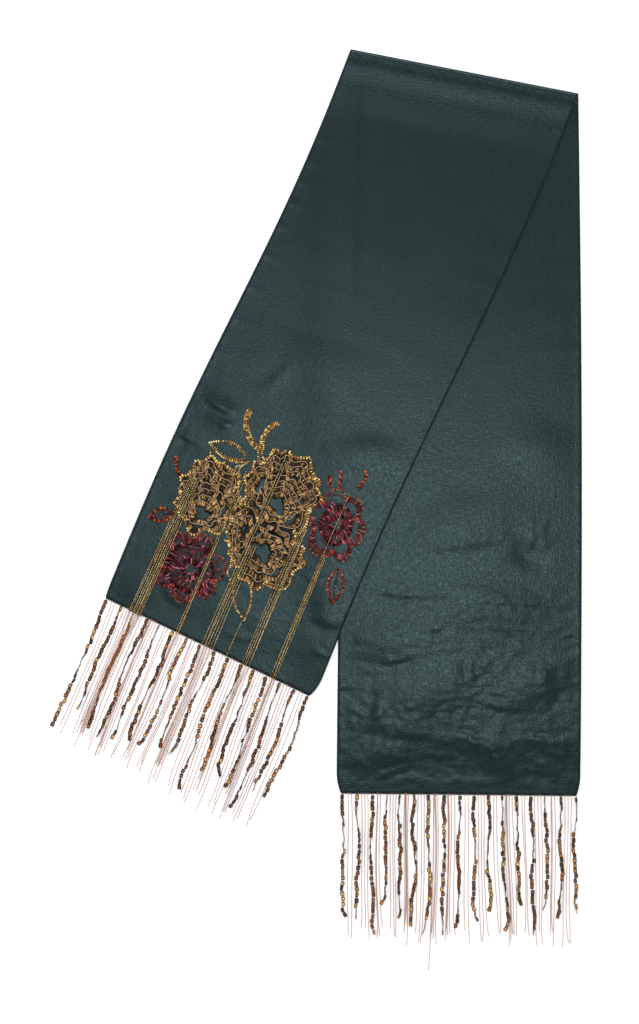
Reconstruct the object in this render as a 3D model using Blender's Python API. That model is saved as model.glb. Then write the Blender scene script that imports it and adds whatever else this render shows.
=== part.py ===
"""Satin evening scarf, folded across once and laid flat, with a beaded bouquet and a fringe on each end.

The scarf is one strip of cloth. Its under leg lies on the surface, and at the fold the cloth turns over
and comes back as the over leg, which lies on the under leg and slants away to the left of it.
Metres, +Z up, +Y towards the fold, +X to the right. The origin is under the middle of the whole scarf.
"""

import math
import random

import bpy
from mathutils import Vector
from mathutils.bvhtree import BVHTree

MM = 0.001
UP = Vector((0, 0, 1))

# The cloth: two satin layers sewn into one flat wall, and the room between pieces that touch
WALL = 1.4 * MM
GAP = 0.3 * MM

# The fold: its length, how far it falls to the right, and how softly it is rolled
FOLD_LENGTH = 254 * MM
FOLD_SLOPE = math.radians(11)
FOLD_RISE = 3.4 * MM
ROLL_RUN = 80 * MM
TAIL = 5 * MM

# The two legs: length down the middle, lean of the middle to the left, width and slope of the hem
LEGS = {
    "under": {"length": 794 * MM, "lean": math.radians(0.5), "hem": 267 * MM, "slope": math.radians(0.6)},
    "over": {"length": 692 * MM, "lean": math.radians(23.9), "hem": 255 * MM, "slope": math.radians(25.6)},
}
CORNER_PULL = 4.6 * MM
CORNER_RUN = 22 * MM
UNDER_BOW = 2.6 * MM
OVER_BOW = 5.5 * MM
STEP_CLEAR = 3 * MM
STEP_RUN = 32 * MM

# The grid of the cloth
COLUMNS = 12
ROLL_STEP = 13 * MM
LEG_STEP = 22 * MM
TURN_STEPS = 7

# Soft swells of the cloth, smallest ones left out. Columns: place across as a share of the width from the
# left, distance up from the hem, half length, half breadth and height in mm, and turn in degrees.
SWELL_COLUMNS = ("across", "up", "half_length", "half_breadth", "height", "turn")
SWELLS = {
    "under": (
        (0.18, 168, 62, 30, 2.4, 4),
        (0.62, 205, 78, 34, 2.2, -6),
        (0.80, 120, 58, 32, 2.8, 24),
        (0.36, 112, 66, 34, 3.0, 16),
        (0.66, 42, 44, 26, 2.6, -58),
        (0.20, 44, 52, 27, 2.6, 6),
        (0.50, 300, 84, 40, 1.8, 10),
        (0.82, 380, 60, 40, 1.6, -30),
    ),
    "over": (
        (0.14, 238, 46, 26, 2.2, -28),
        (0.80, 262, 56, 28, 2.2, 22),
        (0.90, 96, 40, 24, 1.8, -50),
        (0.40, 330, 80, 36, 1.6, 8),
        (0.12, 24, 30, 20, 1.4, 40),
    ),
}

# The fringes: how many sequin strings, how many fine chains between two of them in turn, and their lengths.
# Each hangs at a lean to the left, in degrees, which changes from its left end to its right end.
FRINGES = {
    "under": {"strings": 17, "seed": 11, "lean_left": 0.6, "lean_right": -1.2},
    "over": {"strings": 16, "seed": 23, "lean_left": 23.4, "lean_right": 20.6},
}
CHAINS_BETWEEN = (2, 3)
STRING_LENGTH = (116 * MM, 152 * MM)
CHAIN_LENGTH = (146 * MM, 166 * MM)
LONG_CHAIN = 193 * MM
LONG_CHAIN_AFTER = 6
HEADING_WIDTH = 2.2 * MM
HEADING_FROM = 0.2 * MM
HEADING_HEIGHT = 1.0 * MM
STRAND_LIFT = 0.3 * MM
SEQUIN_WIDE = 4.0 * MM
SEQUIN_THIN = 1.6 * MM
STRING_ROOT = 2.4 * MM
CHAIN_THICK = 0.9 * MM
STRING_SEGMENTS = 9
CHAIN_SEGMENTS = 3

# The bouquet, placed on the over leg: across from its middle and up from its hem, in mm
BEADWORK_LIFT = 0.5 * MM
BLOSSOM_COLUMNS = ("name", "across", "up", "half_width", "half_height", "turn", "petals", "kind")
BLOSSOMS = (
    ("blossom_gold_large", 12, 158, 43, 79, 14, 9, "gold"),
    ("blossom_gold_small", -68, 150, 37, 46, 8, 8, "gold"),
    ("blossom_red_left", -56, 71, 42, 41, -12, 7, "red"),
    ("blossom_red_right", 73, 178, 34, 43, 14, 6, "red"),
)
SPOKES = {"gold": 32, "red": 26}
# Share of the blossom's radius, and height of the beadwork there in mm, from its middle to its rim
RELIEF = {
    "gold": ((0.16, 2.6), (0.32, 1.5), (0.50, 2.8), (0.66, 1.6), (0.86, 2.5), (1.0, 1.1)),
    "red": ((0.22, 0.9), (0.36, 2.2), (0.62, 1.2), (0.84, 2.2), (1.0, 1.0)),
}
BLOSSOM_MIDDLE = {"gold": 1.2 * MM, "red": 0.6 * MM}
PETAL_DEPTH = 0.055
PETAL_LIFT = 0.35 * MM
BLOSSOM_PART = 0.5 * MM

# Leaves are loops of bead rope from a base to a pointed tip. Stems are broad lengths of it that bow to the
# left of the line from foot to tip. Places are across from the panel's middle and up from its hem, in mm.
ROPE_WIDE = 2.4
ROPE_HEIGHT = 2.0 * MM
LEAF_COLUMNS = ("name", "base", "base_up", "tip", "tip_up", "half_width", "colour")
LEAVES = (
    ("leaf_gold_upper", -48, 206, -91, 205, 9.5, "gold"),
    ("leaf_gold_lower", 9, 72, 24, 44, 8.0, "gold"),
    ("leaf_red_left", -97, 118, -119, 103, 7.5, "red"),
    ("leaf_red_right", 95, 135, 104, 97, 10.5, "red"),
)
STEM_COLUMNS = ("name", "foot", "foot_up", "tip", "tip_up", "bow", "wide", "colour")
STEMS = (
    ("stem_gold_left", -43, 222, -65, 256, 7.0, 6.5, "gold"),
    ("stem_gold_right", -37, 225, -31, 255, 5.0, 5.5, "gold"),
    ("sprig_red_far_left", -107, 159, -118, 176, 1.5, 6.0, "red"),
    ("sprig_red_top_left", 48, 215, 44, 225, -1.0, 4.0, "red"),
    ("sprig_red_top_middle", 58, 220, 53, 234, -1.5, 4.0, "red"),
    ("sprig_red_top_right", 79, 226, 79, 246, -2.5, 6.0, "red"),
)
LEAF_SEGMENTS = 14
STEM_SEGMENTS = 5

# Bunches of fine chain sewn into the bouquet: across, start above the hem, end past it, and how many
BUNCH_COLUMNS = ("name", "across", "start", "past", "chains", "drift")
BUNCHES = (
    ("chains_far_left", -90, 162, 148, 8, -2),
    ("chains_left", -40, 112, 154, 3, 4),
    ("chains_middle_left", -3, 120, 150, 6, 3),
    ("chains_single", 21, 41, 150, 1, 5),
    ("chains_middle_right", 42, 160, 152, 5, 7),
    ("chains_right", 75, 140, 148, 4, 8),
)
BUNCH_PITCH = 1.5 * MM
BUNCH_BAR = 2.0 * MM
BUNCH_BAR_HEIGHT = 1.2 * MM
BUNCH_STEP = 26 * MM
PROBE = 0.7 * MM

# Base colour, roughness and metallic value of each material
MATERIALS = {
    "satin": ((0.036, 0.062, 0.062, 1), 0.42, 0.0),
    "gold_beads": ((0.42, 0.25, 0.08, 1), 0.30, 0.9),
    "red_beads": ((0.16, 0.012, 0.025, 1), 0.25, 0.4),
    "sequins": ((0.20, 0.075, 0.030, 1), 0.28, 0.8),
    "chain": ((0.45, 0.30, 0.17, 1), 0.32, 0.9),
}


def rows_of(table, columns):
    """The rows of a table as dictionaries with the columns' names."""
    return [dict(zip(columns, row)) for row in table]


def clear_scene():
    for old in list(bpy.data.objects):
        bpy.data.objects.remove(old)


def make_material(name):
    colour, roughness, metallic = MATERIALS[name]
    material = bpy.data.materials.new(name)
    material.use_nodes = True
    shader = material.node_tree.nodes["Principled BSDF"]
    shader.inputs["Base Color"].default_value = colour
    shader.inputs["Roughness"].default_value = roughness
    shader.inputs["Metallic"].default_value = metallic
    material.diffuse_color = colour
    return material


def make_object(name, points, faces, material):
    """A named object with those faces, its normals made to point outwards."""
    mesh = bpy.data.meshes.new(name)
    mesh.from_pydata([tuple(p) for p in points], [], faces)
    mesh.materials.append(material)
    mesh.validate()
    obj = bpy.data.objects.new(name, mesh)
    bpy.context.scene.collection.objects.link(obj)
    return obj


def smooth_step(t):
    t = min(1.0, max(0.0, t))
    return t * t * (3 - 2 * t)


# Plan of the legs


def fold_point(u):
    """The point of the fold line at share u of its length, from the left."""
    return Vector((math.cos(FOLD_SLOPE), -math.sin(FOLD_SLOPE))) * FOLD_LENGTH * (u - 0.5)


def fold_inward():
    """The direction square to the fold line, into the scarf."""
    return Vector((-math.sin(FOLD_SLOPE), -math.cos(FOLD_SLOPE)))


def leg_axes(name):
    """The directions down a leg's middle and across it to the right."""
    lean = LEGS[name]["lean"]
    return Vector((-math.sin(lean), -math.cos(lean))), Vector((math.cos(lean), -math.sin(lean)))


def hem_middle(name):
    return leg_axes(name)[0] * LEGS[name]["length"]


def hem_point(name, u):
    """The hem's point at share u of its width, before its corners are drawn in."""
    slope = LEGS[name]["slope"]
    along = Vector((math.cos(slope), -math.sin(slope)))
    return hem_middle(name) + along * LEGS[name]["hem"] * (u - 0.5)


def edge_bow(name, u, v):
    """How far the leg's side edges bow sideways: the under leg swells a little, the over leg bends in an S."""
    if name == "under":
        return UNDER_BOW * math.sin(math.pi * v) * (2 * u - 1)
    return OVER_BOW * math.sin(2 * math.pi * v) * (1 - 0.4 * v)


def leg_plan(name, u, v):
    """The plan point of a leg at share u across, from the left, and share v from the fold to the hem."""
    across = leg_axes(name)[1]
    from_hem = (1 - v) * LEGS[name]["length"]
    pull = CORNER_PULL * max(0.0, 1 - from_hem / CORNER_RUN) ** 2
    left = fold_point(0).lerp(hem_point(name, 0), v) + across * (edge_bow(name, 0, v) + pull)
    right = fold_point(1).lerp(hem_point(name, 1), v) + across * (edge_bow(name, 1, v) - pull)
    return left.lerp(right, u)


def share_at_depth(name, depth):
    """The share v at which a leg is that deep, measured square to the fold line."""
    return depth / hem_middle(name).dot(fold_inward())


def even_share(name, u, v):
    """Share v moved a little, so that rows near the fold run along it and rows near the hem along the hem."""
    ratio = hem_middle(name).dot(fold_inward()) / hem_point(name, u).dot(fold_inward())
    return v * (1 + (ratio - 1) * (1 - v) ** 2)


def outside_under_leg(point):
    """How far a plan point lies to the left of the under leg's left edge; less than 0 is on the leg."""
    down, across = leg_axes("under")
    v = min(1.0, max(0.0, point.dot(down) / LEGS["under"]["length"]))
    return (leg_plan("under", 0, v) - point).dot(across)


def inside_over_leg(point):
    """How far a plan point lies to the left of the over leg's right edge; less than 0 is clear of it."""
    down, across = leg_axes("over")
    v = min(1.0, max(0.0, point.dot(down) / LEGS["over"]["length"]))
    return (leg_plan("over", 1, v) - point).dot(across)


# Heights


def swell_height(name, point):
    """How far the leg's soft swells lift the cloth off what it lies on."""
    down, across = leg_axes(name)
    from_middle = point - hem_middle(name)
    here_across, here_up = from_middle.dot(across), -from_middle.dot(down)
    height = 0.0
    for swell in rows_of(SWELLS[name], SWELL_COLUMNS):
        turn = math.radians(swell["turn"])
        side = here_across - (swell["across"] - 0.5) * LEGS[name]["hem"]
        rise = here_up - swell["up"] * MM
        along = (side * math.cos(turn) + rise * math.sin(turn)) / (swell["half_length"] * MM)
        aside = (rise * math.cos(turn) - side * math.sin(turn)) / (swell["half_breadth"] * MM)
        if abs(along) < 1 and abs(aside) < 1:
            height += swell["height"] * MM * (1 - along**2) ** 2 * (1 - aside**2) ** 2
    flat_at_hem = smooth_step(here_up / (18 * MM))
    if name == "under":
        flat_at_hem *= smooth_step(-inside_over_leg(point) / (30 * MM))
    return height * flat_at_hem


def under_middle(point):
    """Height of the middle of the under leg's wall."""
    return WALL / 2 + swell_height("under", point)


def over_middle(point):
    """Height of the middle of the over leg's wall: on the under leg, down its left side, then on the floor."""
    depth = point.dot(fold_inward())
    lies_on = (WALL + GAP) * (1 - smooth_step((outside_under_leg(point) - STEP_CLEAR) / STEP_RUN))
    roll = FOLD_RISE * 0.5 * (1 + math.cos(math.pi * min(1.0, (depth - turn_depth()) / ROLL_RUN)))
    near_fold = 1 - smooth_step((depth - turn_depth()) / ROLL_RUN)
    lies_on = max(lies_on, (WALL + GAP) * near_fold)
    return WALL / 2 + lies_on + roll + swell_height("over", point)


def turn_radius():
    """Radius of the middle of the wall where it turns over at the fold."""
    return (WALL + GAP + FOLD_RISE) / 2


def turn_depth():
    """Distance of the turn's centre from the fold line, which is the scarf's outline there."""
    return turn_radius() + WALL / 2


# Cloth


def leg_stations(name, first_depth):
    """Shares v of the rows of a leg: close together in the roll and at the hem's corners."""
    length = LEGS[name]["length"]
    start = share_at_depth(name, first_depth)
    fine = [start + i * ROLL_STEP / length for i in range(round(ROLL_RUN / ROLL_STEP))]
    last = 1 - CORNER_RUN / length
    count = round((last - fine[-1]) * length / LEG_STEP)
    middle = [fine[-1] + (last - fine[-1]) * i / count for i in range(1, count + 1)]
    corner = [1 - CORNER_RUN * share / length for share in (0.5, 0.22, 0.0)]
    return fine + middle + corner


def cloth_row(name, v, height):
    row = []
    for i in range(COLUMNS + 1):
        u = i / COLUMNS
        plan = leg_plan(name, u, even_share(name, u, v))
        row.append(Vector((plan.x, plan.y, height(plan))))
    return row


def turn_rows():
    """Rows round the fold, from the tail that meets the under leg up to the over leg's first row."""
    depth, radius = turn_depth(), turn_radius()
    inward = fold_inward()
    along = Vector((math.cos(FOLD_SLOPE), -math.sin(FOLD_SLOPE)))
    rows = []
    for step in range(-1, TURN_STEPS):
        angle = math.pi * max(0, step) / TURN_STEPS
        share = max(0, step) / TURN_STEPS
        row = []
        for i in range(COLUMNS + 1):
            u = i / COLUMNS
            here = depth + TAIL if step < 0 else depth
            below = leg_plan("under", u, share_at_depth("under", here)) - fold_point(u)
            above = leg_plan("over", u, share_at_depth("over", depth)) - fold_point(u)
            sideways = (1 - share) * below.dot(along) + share * above.dot(along)
            inwards = here - radius * math.sin(angle)
            plan = fold_point(u) + along * sideways + inward * inwards
            row.append(Vector((plan.x, plan.y, WALL / 2 + radius * (1 - math.cos(angle)))))
        rows.append(row)
    return rows


def wall_from_rows(name, rows, material):
    """A wall of even thickness about a grid of middle points, whose outer side is the first one it meets."""
    count, width = len(rows), len(rows[0])
    outer, inner = [], []
    for j in range(count):
        for i in range(width):
            across = rows[j][min(i + 1, width - 1)] - rows[j][max(i - 1, 0)]
            along = rows[min(j + 1, count - 1)][i] - rows[max(j - 1, 0)][i]
            normal = along.cross(across).normalized()
            outer.append(rows[j][i] + normal * WALL / 2)
            inner.append(rows[j][i] - normal * WALL / 2)
    points = outer + inner
    other = len(outer)
    faces = []
    for j in range(count - 1):
        for i in range(width - 1):
            a, b, c, d = j * width + i, j * width + i + 1, (j + 1) * width + i + 1, (j + 1) * width + i
            faces.append((a, d, c, b))
            faces.append((other + a, other + b, other + c, other + d))
    rim = [i for i in range(width)]
    rim += [j * width + width - 1 for j in range(1, count)]
    rim += [(count - 1) * width + i for i in range(width - 2, -1, -1)]
    rim += [j * width for j in range(count - 2, 0, -1)]
    for a, b in zip(rim, rim[1:] + rim[:1]):
        faces.append((a, b, other + b, other + a))
    return make_object(name, points, faces, material)


def build_cloth(material):
    under_start = turn_depth() + TAIL + GAP
    under_rows = [cloth_row("under", v, under_middle) for v in leg_stations("under", under_start)]
    over_rows = [cloth_row("over", v, over_middle) for v in leg_stations("over", turn_depth())]
    under = wall_from_rows("under_leg", under_rows, material)
    over = wall_from_rows("over_leg", turn_rows() + over_rows, material)
    return under, over


# Strands: each comb is a narrow bar with strands that grow out of one side of it


def surface_of(objects):
    """A tree of all faces of the objects, to find heights on."""
    points, faces = [], []
    for obj in objects:
        first = len(points)
        points += [v.co for v in obj.data.vertices]
        faces += [tuple(first + i for i in p.vertices) for p in obj.data.polygons]
    return BVHTree.FromPolygons(points, faces)


def top_height(carriers, plan):
    """Height of the carriers' highest surface at a plan point, or of the floor."""
    hit = carriers.ray_cast(Vector((plan.x, plan.y, 1.0)), -UP)[0]
    return 0.0 if hit is None else hit.z


def ring_about(centre, side, width, bottom, height):
    """Four corners of an upright strand section, the first two at the bottom, from left to right."""
    half = side * width / 2
    left, right = centre - half, centre + half
    return [
        Vector((left.x, left.y, bottom)),
        Vector((right.x, right.y, bottom)),
        Vector((right.x, right.y, bottom + height)),
        Vector((left.x, left.y, bottom + height)),
    ]


def comb(name, start, side, down, bar, strands, material):
    """A bar from start along side, with a strand out of its far side at each root.

    bar holds its length, width, bottom and height. Each strand holds its root's place along the bar and
    width, and its rings: plan centre, width, bottom and height of each.
    """
    cuts = [0.0]
    for strand in strands:
        cuts += [strand["root"] - strand["root_width"] / 2, strand["root"] + strand["root_width"] / 2]
    cuts.append(bar["length"])
    points, faces = [], []
    for cut in cuts:
        near = start + side * cut
        far = near + down * bar["width"]
        low, high = bar["bottom"], bar["bottom"] + bar["height"]
        points += [Vector((*near, low)), Vector((*far, low)), Vector((*far, high)), Vector((*near, high))]
    last = 4 * (len(cuts) - 1)
    faces.append((0, 3, 2, 1))
    faces.append((last, last + 1, last + 2, last + 3))
    for cell in range(len(cuts) - 1):
        a, b = 4 * cell, 4 * (cell + 1)
        faces.append((a, a + 1, b + 1, b))
        faces.append((a + 2, a + 3, b + 3, b + 2))
        faces.append((a + 3, a, b, b + 3))
        if cell % 2 == 0:
            faces.append((a + 1, a + 2, b + 2, b + 1))
            continue
        ring = [a + 1, b + 1, b + 2, a + 2]
        for section in strands[cell // 2]["rings"]:
            new = list(range(len(points), len(points) + 4))
            points += ring_about(section[0], side, *section[1:])
            for k in range(4):
                n = (k + 1) % 4
                faces.append((ring[n], ring[k], new[k], new[n]))
            ring = new
        faces.append(tuple(reversed(ring)))
    return make_object(name, points, [tuple(reversed(f)) for f in faces], material)


def fringe_drift(place, fall):
    """How far neighbouring strands lean together, at a place along the hem and a distance below it."""
    lean = 3.2 * MM * (fall / (150 * MM)) * math.sin(place / (24 * MM) + 0.8)
    return lean + 0.9 * MM * math.sin(fall / (30 * MM) + place / (19 * MM))


def sequin_string(rng, root, plan_at):
    """A string of sequins as a flat ribbon that twists, so it is wide in places and thin in others."""
    length = rng.uniform(*STRING_LENGTH)
    phase, pace = rng.uniform(0, math.tau), rng.uniform(26, 40) * MM
    rings = []
    for k in range(1, STRING_SEGMENTS + 1):
        fall = length * k / STRING_SEGMENTS
        twist = phase + fall / pace
        wide = SEQUIN_THIN + (SEQUIN_WIDE - SEQUIN_THIN) * abs(math.cos(twist))
        high = SEQUIN_THIN + (SEQUIN_WIDE - SEQUIN_THIN) * 0.5 * abs(math.sin(twist))
        own = 0.7 * MM * math.sin(fall / (13 * MM) + phase)
        rings.append((plan_at(root + own, fall), wide, STRAND_LIFT, high))
    return {"root": root, "root_width": STRING_ROOT, "rings": rings}


def fine_chain(rng, root, plan_at, length):
    own = rng.uniform(-0.5, 0.5) * MM
    rings = []
    for k in range(1, CHAIN_SEGMENTS + 1):
        share = k / CHAIN_SEGMENTS
        rings.append((plan_at(root + own * share, length * share), CHAIN_THICK, STRAND_LIFT, CHAIN_THICK))
    return {"root": root, "root_width": CHAIN_THICK, "rings": rings}


def build_fringe(leg, material):
    """The fringe of one leg: its heading lies just past the hem, with sequin strings and fine chains."""
    rng = random.Random(FRINGES[leg]["seed"])
    left, right = leg_plan(leg, 0, 1), leg_plan(leg, 1, 1)
    side = (right - left).normalized()
    down_square = Vector((side.y, -side.x))
    length = (right - left).length
    start = left + down_square * GAP
    strings = FRINGES[leg]["strings"]
    edge = STRING_ROOT / 2 + 0.4 * MM
    pitch = (length - 2 * edge) / (strings - 1)
    foot = start + down_square * HEADING_WIDTH

    def plan_at(place, fall):
        share = place / length
        lean = math.radians(FRINGES[leg]["lean_left"] * (1 - share) + FRINGES[leg]["lean_right"] * share)
        down = Vector((-math.sin(lean), -math.cos(lean)))
        return foot + side * (place + fringe_drift(place, fall)) + down * fall

    strands = []
    for k in range(strings):
        root = edge + k * pitch
        strands.append(sequin_string(rng, root, plan_at))
        if k == strings - 1:
            break
        chains = CHAINS_BETWEEN[k % len(CHAINS_BETWEEN)]
        for c in range(chains):
            place = root + pitch * (0.5 + 0.21 * (c - (chains - 1) / 2))
            longest = leg == "under" and k == LONG_CHAIN_AFTER and c == 0
            chain_length = LONG_CHAIN if longest else rng.uniform(*CHAIN_LENGTH)
            strands.append(fine_chain(rng, place, plan_at, chain_length))
    bar = {"length": length, "width": HEADING_WIDTH, "bottom": HEADING_FROM, "height": HEADING_HEIGHT}
    return comb(f"fringe_{leg}", start, side, down_square, bar, strands, material)


# Bouquet


def panel_plan(across, up):
    """The plan point at a distance across from the over leg's middle, to the right, and up from its hem."""
    down, side = leg_axes("over")
    return hem_middle("over") + side * across - down * up


def blossom_reach(blossom, others, angle):
    """Distance from a blossom's middle to its lobed rim at an angle, stopped short of its neighbours."""
    local = angle - math.radians(blossom["turn"])
    wide, high = blossom["half_width"] * MM, blossom["half_height"] * MM
    oval = wide * high / math.hypot(high * math.cos(local), wide * math.sin(local))
    lobes = 1 + PETAL_DEPTH * math.cos(blossom["petals"] * local) + 0.02 * math.sin(3 * local + blossom["across"])
    reach = oval * lobes
    here = Vector((math.cos(angle), math.sin(angle)))
    for other in others:
        to_other = Vector((other["across"] - blossom["across"], other["up"] - blossom["up"])) * MM
        size = blossom["half_width"] + blossom["half_height"]
        share = size / (size + other["half_width"] + other["half_height"])
        towards = here.dot(to_other.normalized())
        if towards > 1e-6:
            reach = min(reach, (share * to_other.length - BLOSSOM_PART) / towards)
    return reach


def build_blossom(blossom, others, carriers, material):
    """A lobed mound of beadwork in tiers of petals, its underside made from the cloth's own surface."""
    kind = blossom["kind"]
    spokes = SPOKES[kind]
    middle = Vector((blossom["across"], blossom["up"])) * MM
    centre = panel_plan(*middle)
    low_middle = top_height(carriers, centre) + BEADWORK_LIFT
    top = [Vector((*centre, low_middle + BLOSSOM_MIDDLE[kind]))]
    bottom = [Vector((*centre, low_middle))]
    for tier, (share, height) in enumerate(RELIEF[kind]):
        for k in range(spokes):
            angle = math.tau * k / spokes
            reach = blossom_reach(blossom, others, angle) * share
            plan = panel_plan(middle.x + reach * math.cos(angle), middle.y + reach * math.sin(angle))
            low = top_height(carriers, plan) + BEADWORK_LIFT
            lobe = PETAL_LIFT * math.cos(blossom["petals"] * angle + 2.1 * tier)
            top.append(Vector((*plan, low + height * MM + lobe * share)))
            bottom.append(Vector((*plan, low)))
    other = len(top)
    faces = []
    for k in range(spokes):
        n = (k + 1) % spokes
        faces.append((0, 1 + k, 1 + n))
        faces.append((other, other + 1 + n, other + 1 + k))
        for tier in range(len(RELIEF[kind]) - 1):
            a, b = 1 + tier * spokes, 1 + (tier + 1) * spokes
            faces.append((a + k, b + k, b + n, a + n))
            faces.append((other + a + k, other + a + n, other + b + n, other + b + k))
        rim = 1 + (len(RELIEF[kind]) - 1) * spokes
        faces.append((rim + k, other + rim + k, other + rim + n, rim + n))
    return make_object(blossom["name"], top + bottom, faces, material)


def rope(name, places, wide, closed, carriers, material):
    """A rope of beads along places on the panel, in mm, lying on what carries it."""
    plans = [panel_plan(place.x * MM, place.y * MM) for place in places]
    count = len(plans)
    points, faces = [], []
    for k, plan in enumerate(plans):
        before = plans[k - 1] if closed or k else plans[0]
        after = plans[(k + 1) % count] if closed or k < count - 1 else plans[-1]
        along = (after - before).normalized()
        side = Vector((along.y, -along.x))
        half = wide * MM / 2
        near = [plan + side * half * s + along * half * t for s in (-1, 0, 1) for t in (-1, 0, 1)]
        low = BEADWORK_LIFT + max(top_height(carriers, p) for p in near)
        points += ring_about(plan, side, wide * MM, low, ROPE_HEIGHT)
    joints = count if closed else count - 1
    for k in range(joints):
        a, b = 4 * k, 4 * ((k + 1) % count)
        for c in range(4):
            d = (c + 1) % 4
            faces.append((a + c, a + d, b + d, b + c))
    if not closed:
        last = 4 * (count - 1)
        faces.append((0, 3, 2, 1))
        faces.append((last, last + 1, last + 2, last + 3))
    return make_object(name, points, [tuple(reversed(f)) for f in faces], material)


def build_leaf(leaf, carriers, material):
    """A pointed leaf as a loop of bead rope."""
    base = Vector((leaf["base"], leaf["base_up"]))
    ahead = Vector((leaf["tip"], leaf["tip_up"])) - base
    aside = Vector((-ahead.y, ahead.x)).normalized()
    places = []
    for k in range(LEAF_SEGMENTS):
        angle = math.tau * k / LEAF_SEGMENTS
        share = 0.5 * (1 - math.cos(angle))
        width = math.sin(angle) * (1 - 0.35 * share) * leaf["half_width"]
        places.append(base + ahead * share + aside * width)
    return rope(leaf["name"], places, ROPE_WIDE, True, carriers, material)


def build_stem(stem, carriers, material):
    """A broad bowed length of bead rope."""
    foot = Vector((stem["foot"], stem["foot_up"]))
    ahead = Vector((stem["tip"], stem["tip_up"])) - foot
    aside = Vector((-ahead.y, ahead.x)).normalized()
    places = []
    for k in range(STEM_SEGMENTS + 1):
        share = k / STEM_SEGMENTS
        places.append(foot + ahead * share + aside * stem["bow"] * 4 * share * (1 - share))
    return rope(stem["name"], places, stem["wide"], False, carriers, material)


def build_bunch(bunch, carriers, material):
    """Fine chains side by side, sewn under a short bar, lying over the beads, the hem and the fringe."""
    down, side = leg_axes("over")
    count = bunch["chains"]
    width = count * BUNCH_PITCH
    start = bunch["start"] * MM
    whole = start + bunch["past"] * MM
    corner = panel_plan(bunch["across"] * MM - width / 2, start)
    rng = random.Random(count + bunch["start"])

    def plan_at(place, fall):
        shift = bunch["drift"] * MM * (max(0.0, fall) / whole) ** 2
        return corner + side * (place + shift) + down * (BUNCH_BAR + fall)

    def resting(first, last, begin, finish):
        """A height clear of everything from one place along the bar to another, over a stretch of the fall."""
        across = math.ceil((last - first) / PROBE)
        steps = math.ceil((finish - begin) / PROBE)
        highest = 0.0
        for i in range(across + 1):
            place = first + (last - first) * i / across
            for j in range(steps + 1):
                plan = plan_at(place, begin + (finish - begin) * j / steps)
                highest = max(highest, top_height(carriers, plan))
        return highest + GAP

    bar_bottom = resting(0, width, -2 * BUNCH_BAR, BUNCH_STEP)
    strands = []
    for c in range(count):
        root = (c + 0.5) * BUNCH_PITCH
        length = whole - rng.uniform(0, 16) * MM
        steps = round(length / BUNCH_STEP)
        step = length / steps
        rings = []
        for k in range(1, steps + 1):
            fall = step * k
            low = resting(root - CHAIN_THICK, root + CHAIN_THICK, fall - step, min(length, fall + step))
            rings.append((plan_at(root, fall), CHAIN_THICK, low, CHAIN_THICK))
        strands.append({"root": root, "root_width": CHAIN_THICK, "rings": rings})
    bar = {"length": width, "width": BUNCH_BAR, "bottom": bar_bottom, "height": BUNCH_BAR_HEIGHT}
    return comb(bunch["name"], corner, side, down, bar, strands, material)


def centre_on_floor(objects):
    """Moves everything so that the origin is under the middle of the whole scarf, on the floor."""
    points = [v.co for obj in objects for v in obj.data.vertices]
    middle_x = (min(p.x for p in points) + max(p.x for p in points)) / 2
    middle_y = (min(p.y for p in points) + max(p.y for p in points)) / 2
    for obj in objects:
        for vertex in obj.data.vertices:
            vertex.co.x -= middle_x
            vertex.co.y -= middle_y


def main():
    clear_scene()
    materials = {name: make_material(name) for name in MATERIALS}
    beads = {"gold": materials["gold_beads"], "red": materials["red_beads"]}

    under, over = build_cloth(materials["satin"])
    made = [under, over]
    made += [build_fringe(leg, materials["sequins"]) for leg in FRINGES]

    cloth = surface_of([over])
    blossoms = rows_of(BLOSSOMS, BLOSSOM_COLUMNS)
    for blossom in blossoms:
        others = [b for b in blossoms if b is not blossom]
        made.append(build_blossom(blossom, others, cloth, beads[blossom["kind"]]))
    for leaf in rows_of(LEAVES, LEAF_COLUMNS):
        made.append(build_leaf(leaf, cloth, beads[leaf["colour"]]))
    for stem in rows_of(STEMS, STEM_COLUMNS):
        made.append(build_stem(stem, cloth, beads[stem["colour"]]))

    carriers = surface_of(made)
    for bunch in rows_of(BUNCHES, BUNCH_COLUMNS):
        made.append(build_bunch(bunch, carriers, materials["chain"]))
    centre_on_floor(made)


main()
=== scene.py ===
import math
import random
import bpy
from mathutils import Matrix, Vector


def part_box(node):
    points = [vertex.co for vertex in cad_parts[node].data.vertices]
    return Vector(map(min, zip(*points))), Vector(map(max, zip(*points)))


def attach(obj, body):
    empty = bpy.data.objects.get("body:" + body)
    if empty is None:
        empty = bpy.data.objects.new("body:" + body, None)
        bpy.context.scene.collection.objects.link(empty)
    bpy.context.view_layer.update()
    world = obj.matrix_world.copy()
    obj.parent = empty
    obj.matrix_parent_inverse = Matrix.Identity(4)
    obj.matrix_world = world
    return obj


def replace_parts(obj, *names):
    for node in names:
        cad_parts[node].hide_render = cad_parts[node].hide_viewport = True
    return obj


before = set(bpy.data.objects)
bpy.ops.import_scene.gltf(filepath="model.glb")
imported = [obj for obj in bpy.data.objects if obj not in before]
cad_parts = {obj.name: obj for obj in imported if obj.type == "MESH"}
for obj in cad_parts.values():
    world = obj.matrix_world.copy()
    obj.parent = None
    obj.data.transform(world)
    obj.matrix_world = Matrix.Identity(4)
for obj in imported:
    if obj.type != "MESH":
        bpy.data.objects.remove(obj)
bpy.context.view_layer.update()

from types import SimpleNamespace

import bpy
import numpy as np
from mathutils import Vector

# Satin evening scarf, folded across once and laid flat. Worked out in mm from the middle of the fold line,
# +Y towards the fold and +Z up, and put into the frame, in metres, as each mesh is made. Plan sizes are
# repeated from the part's own source.

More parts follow.
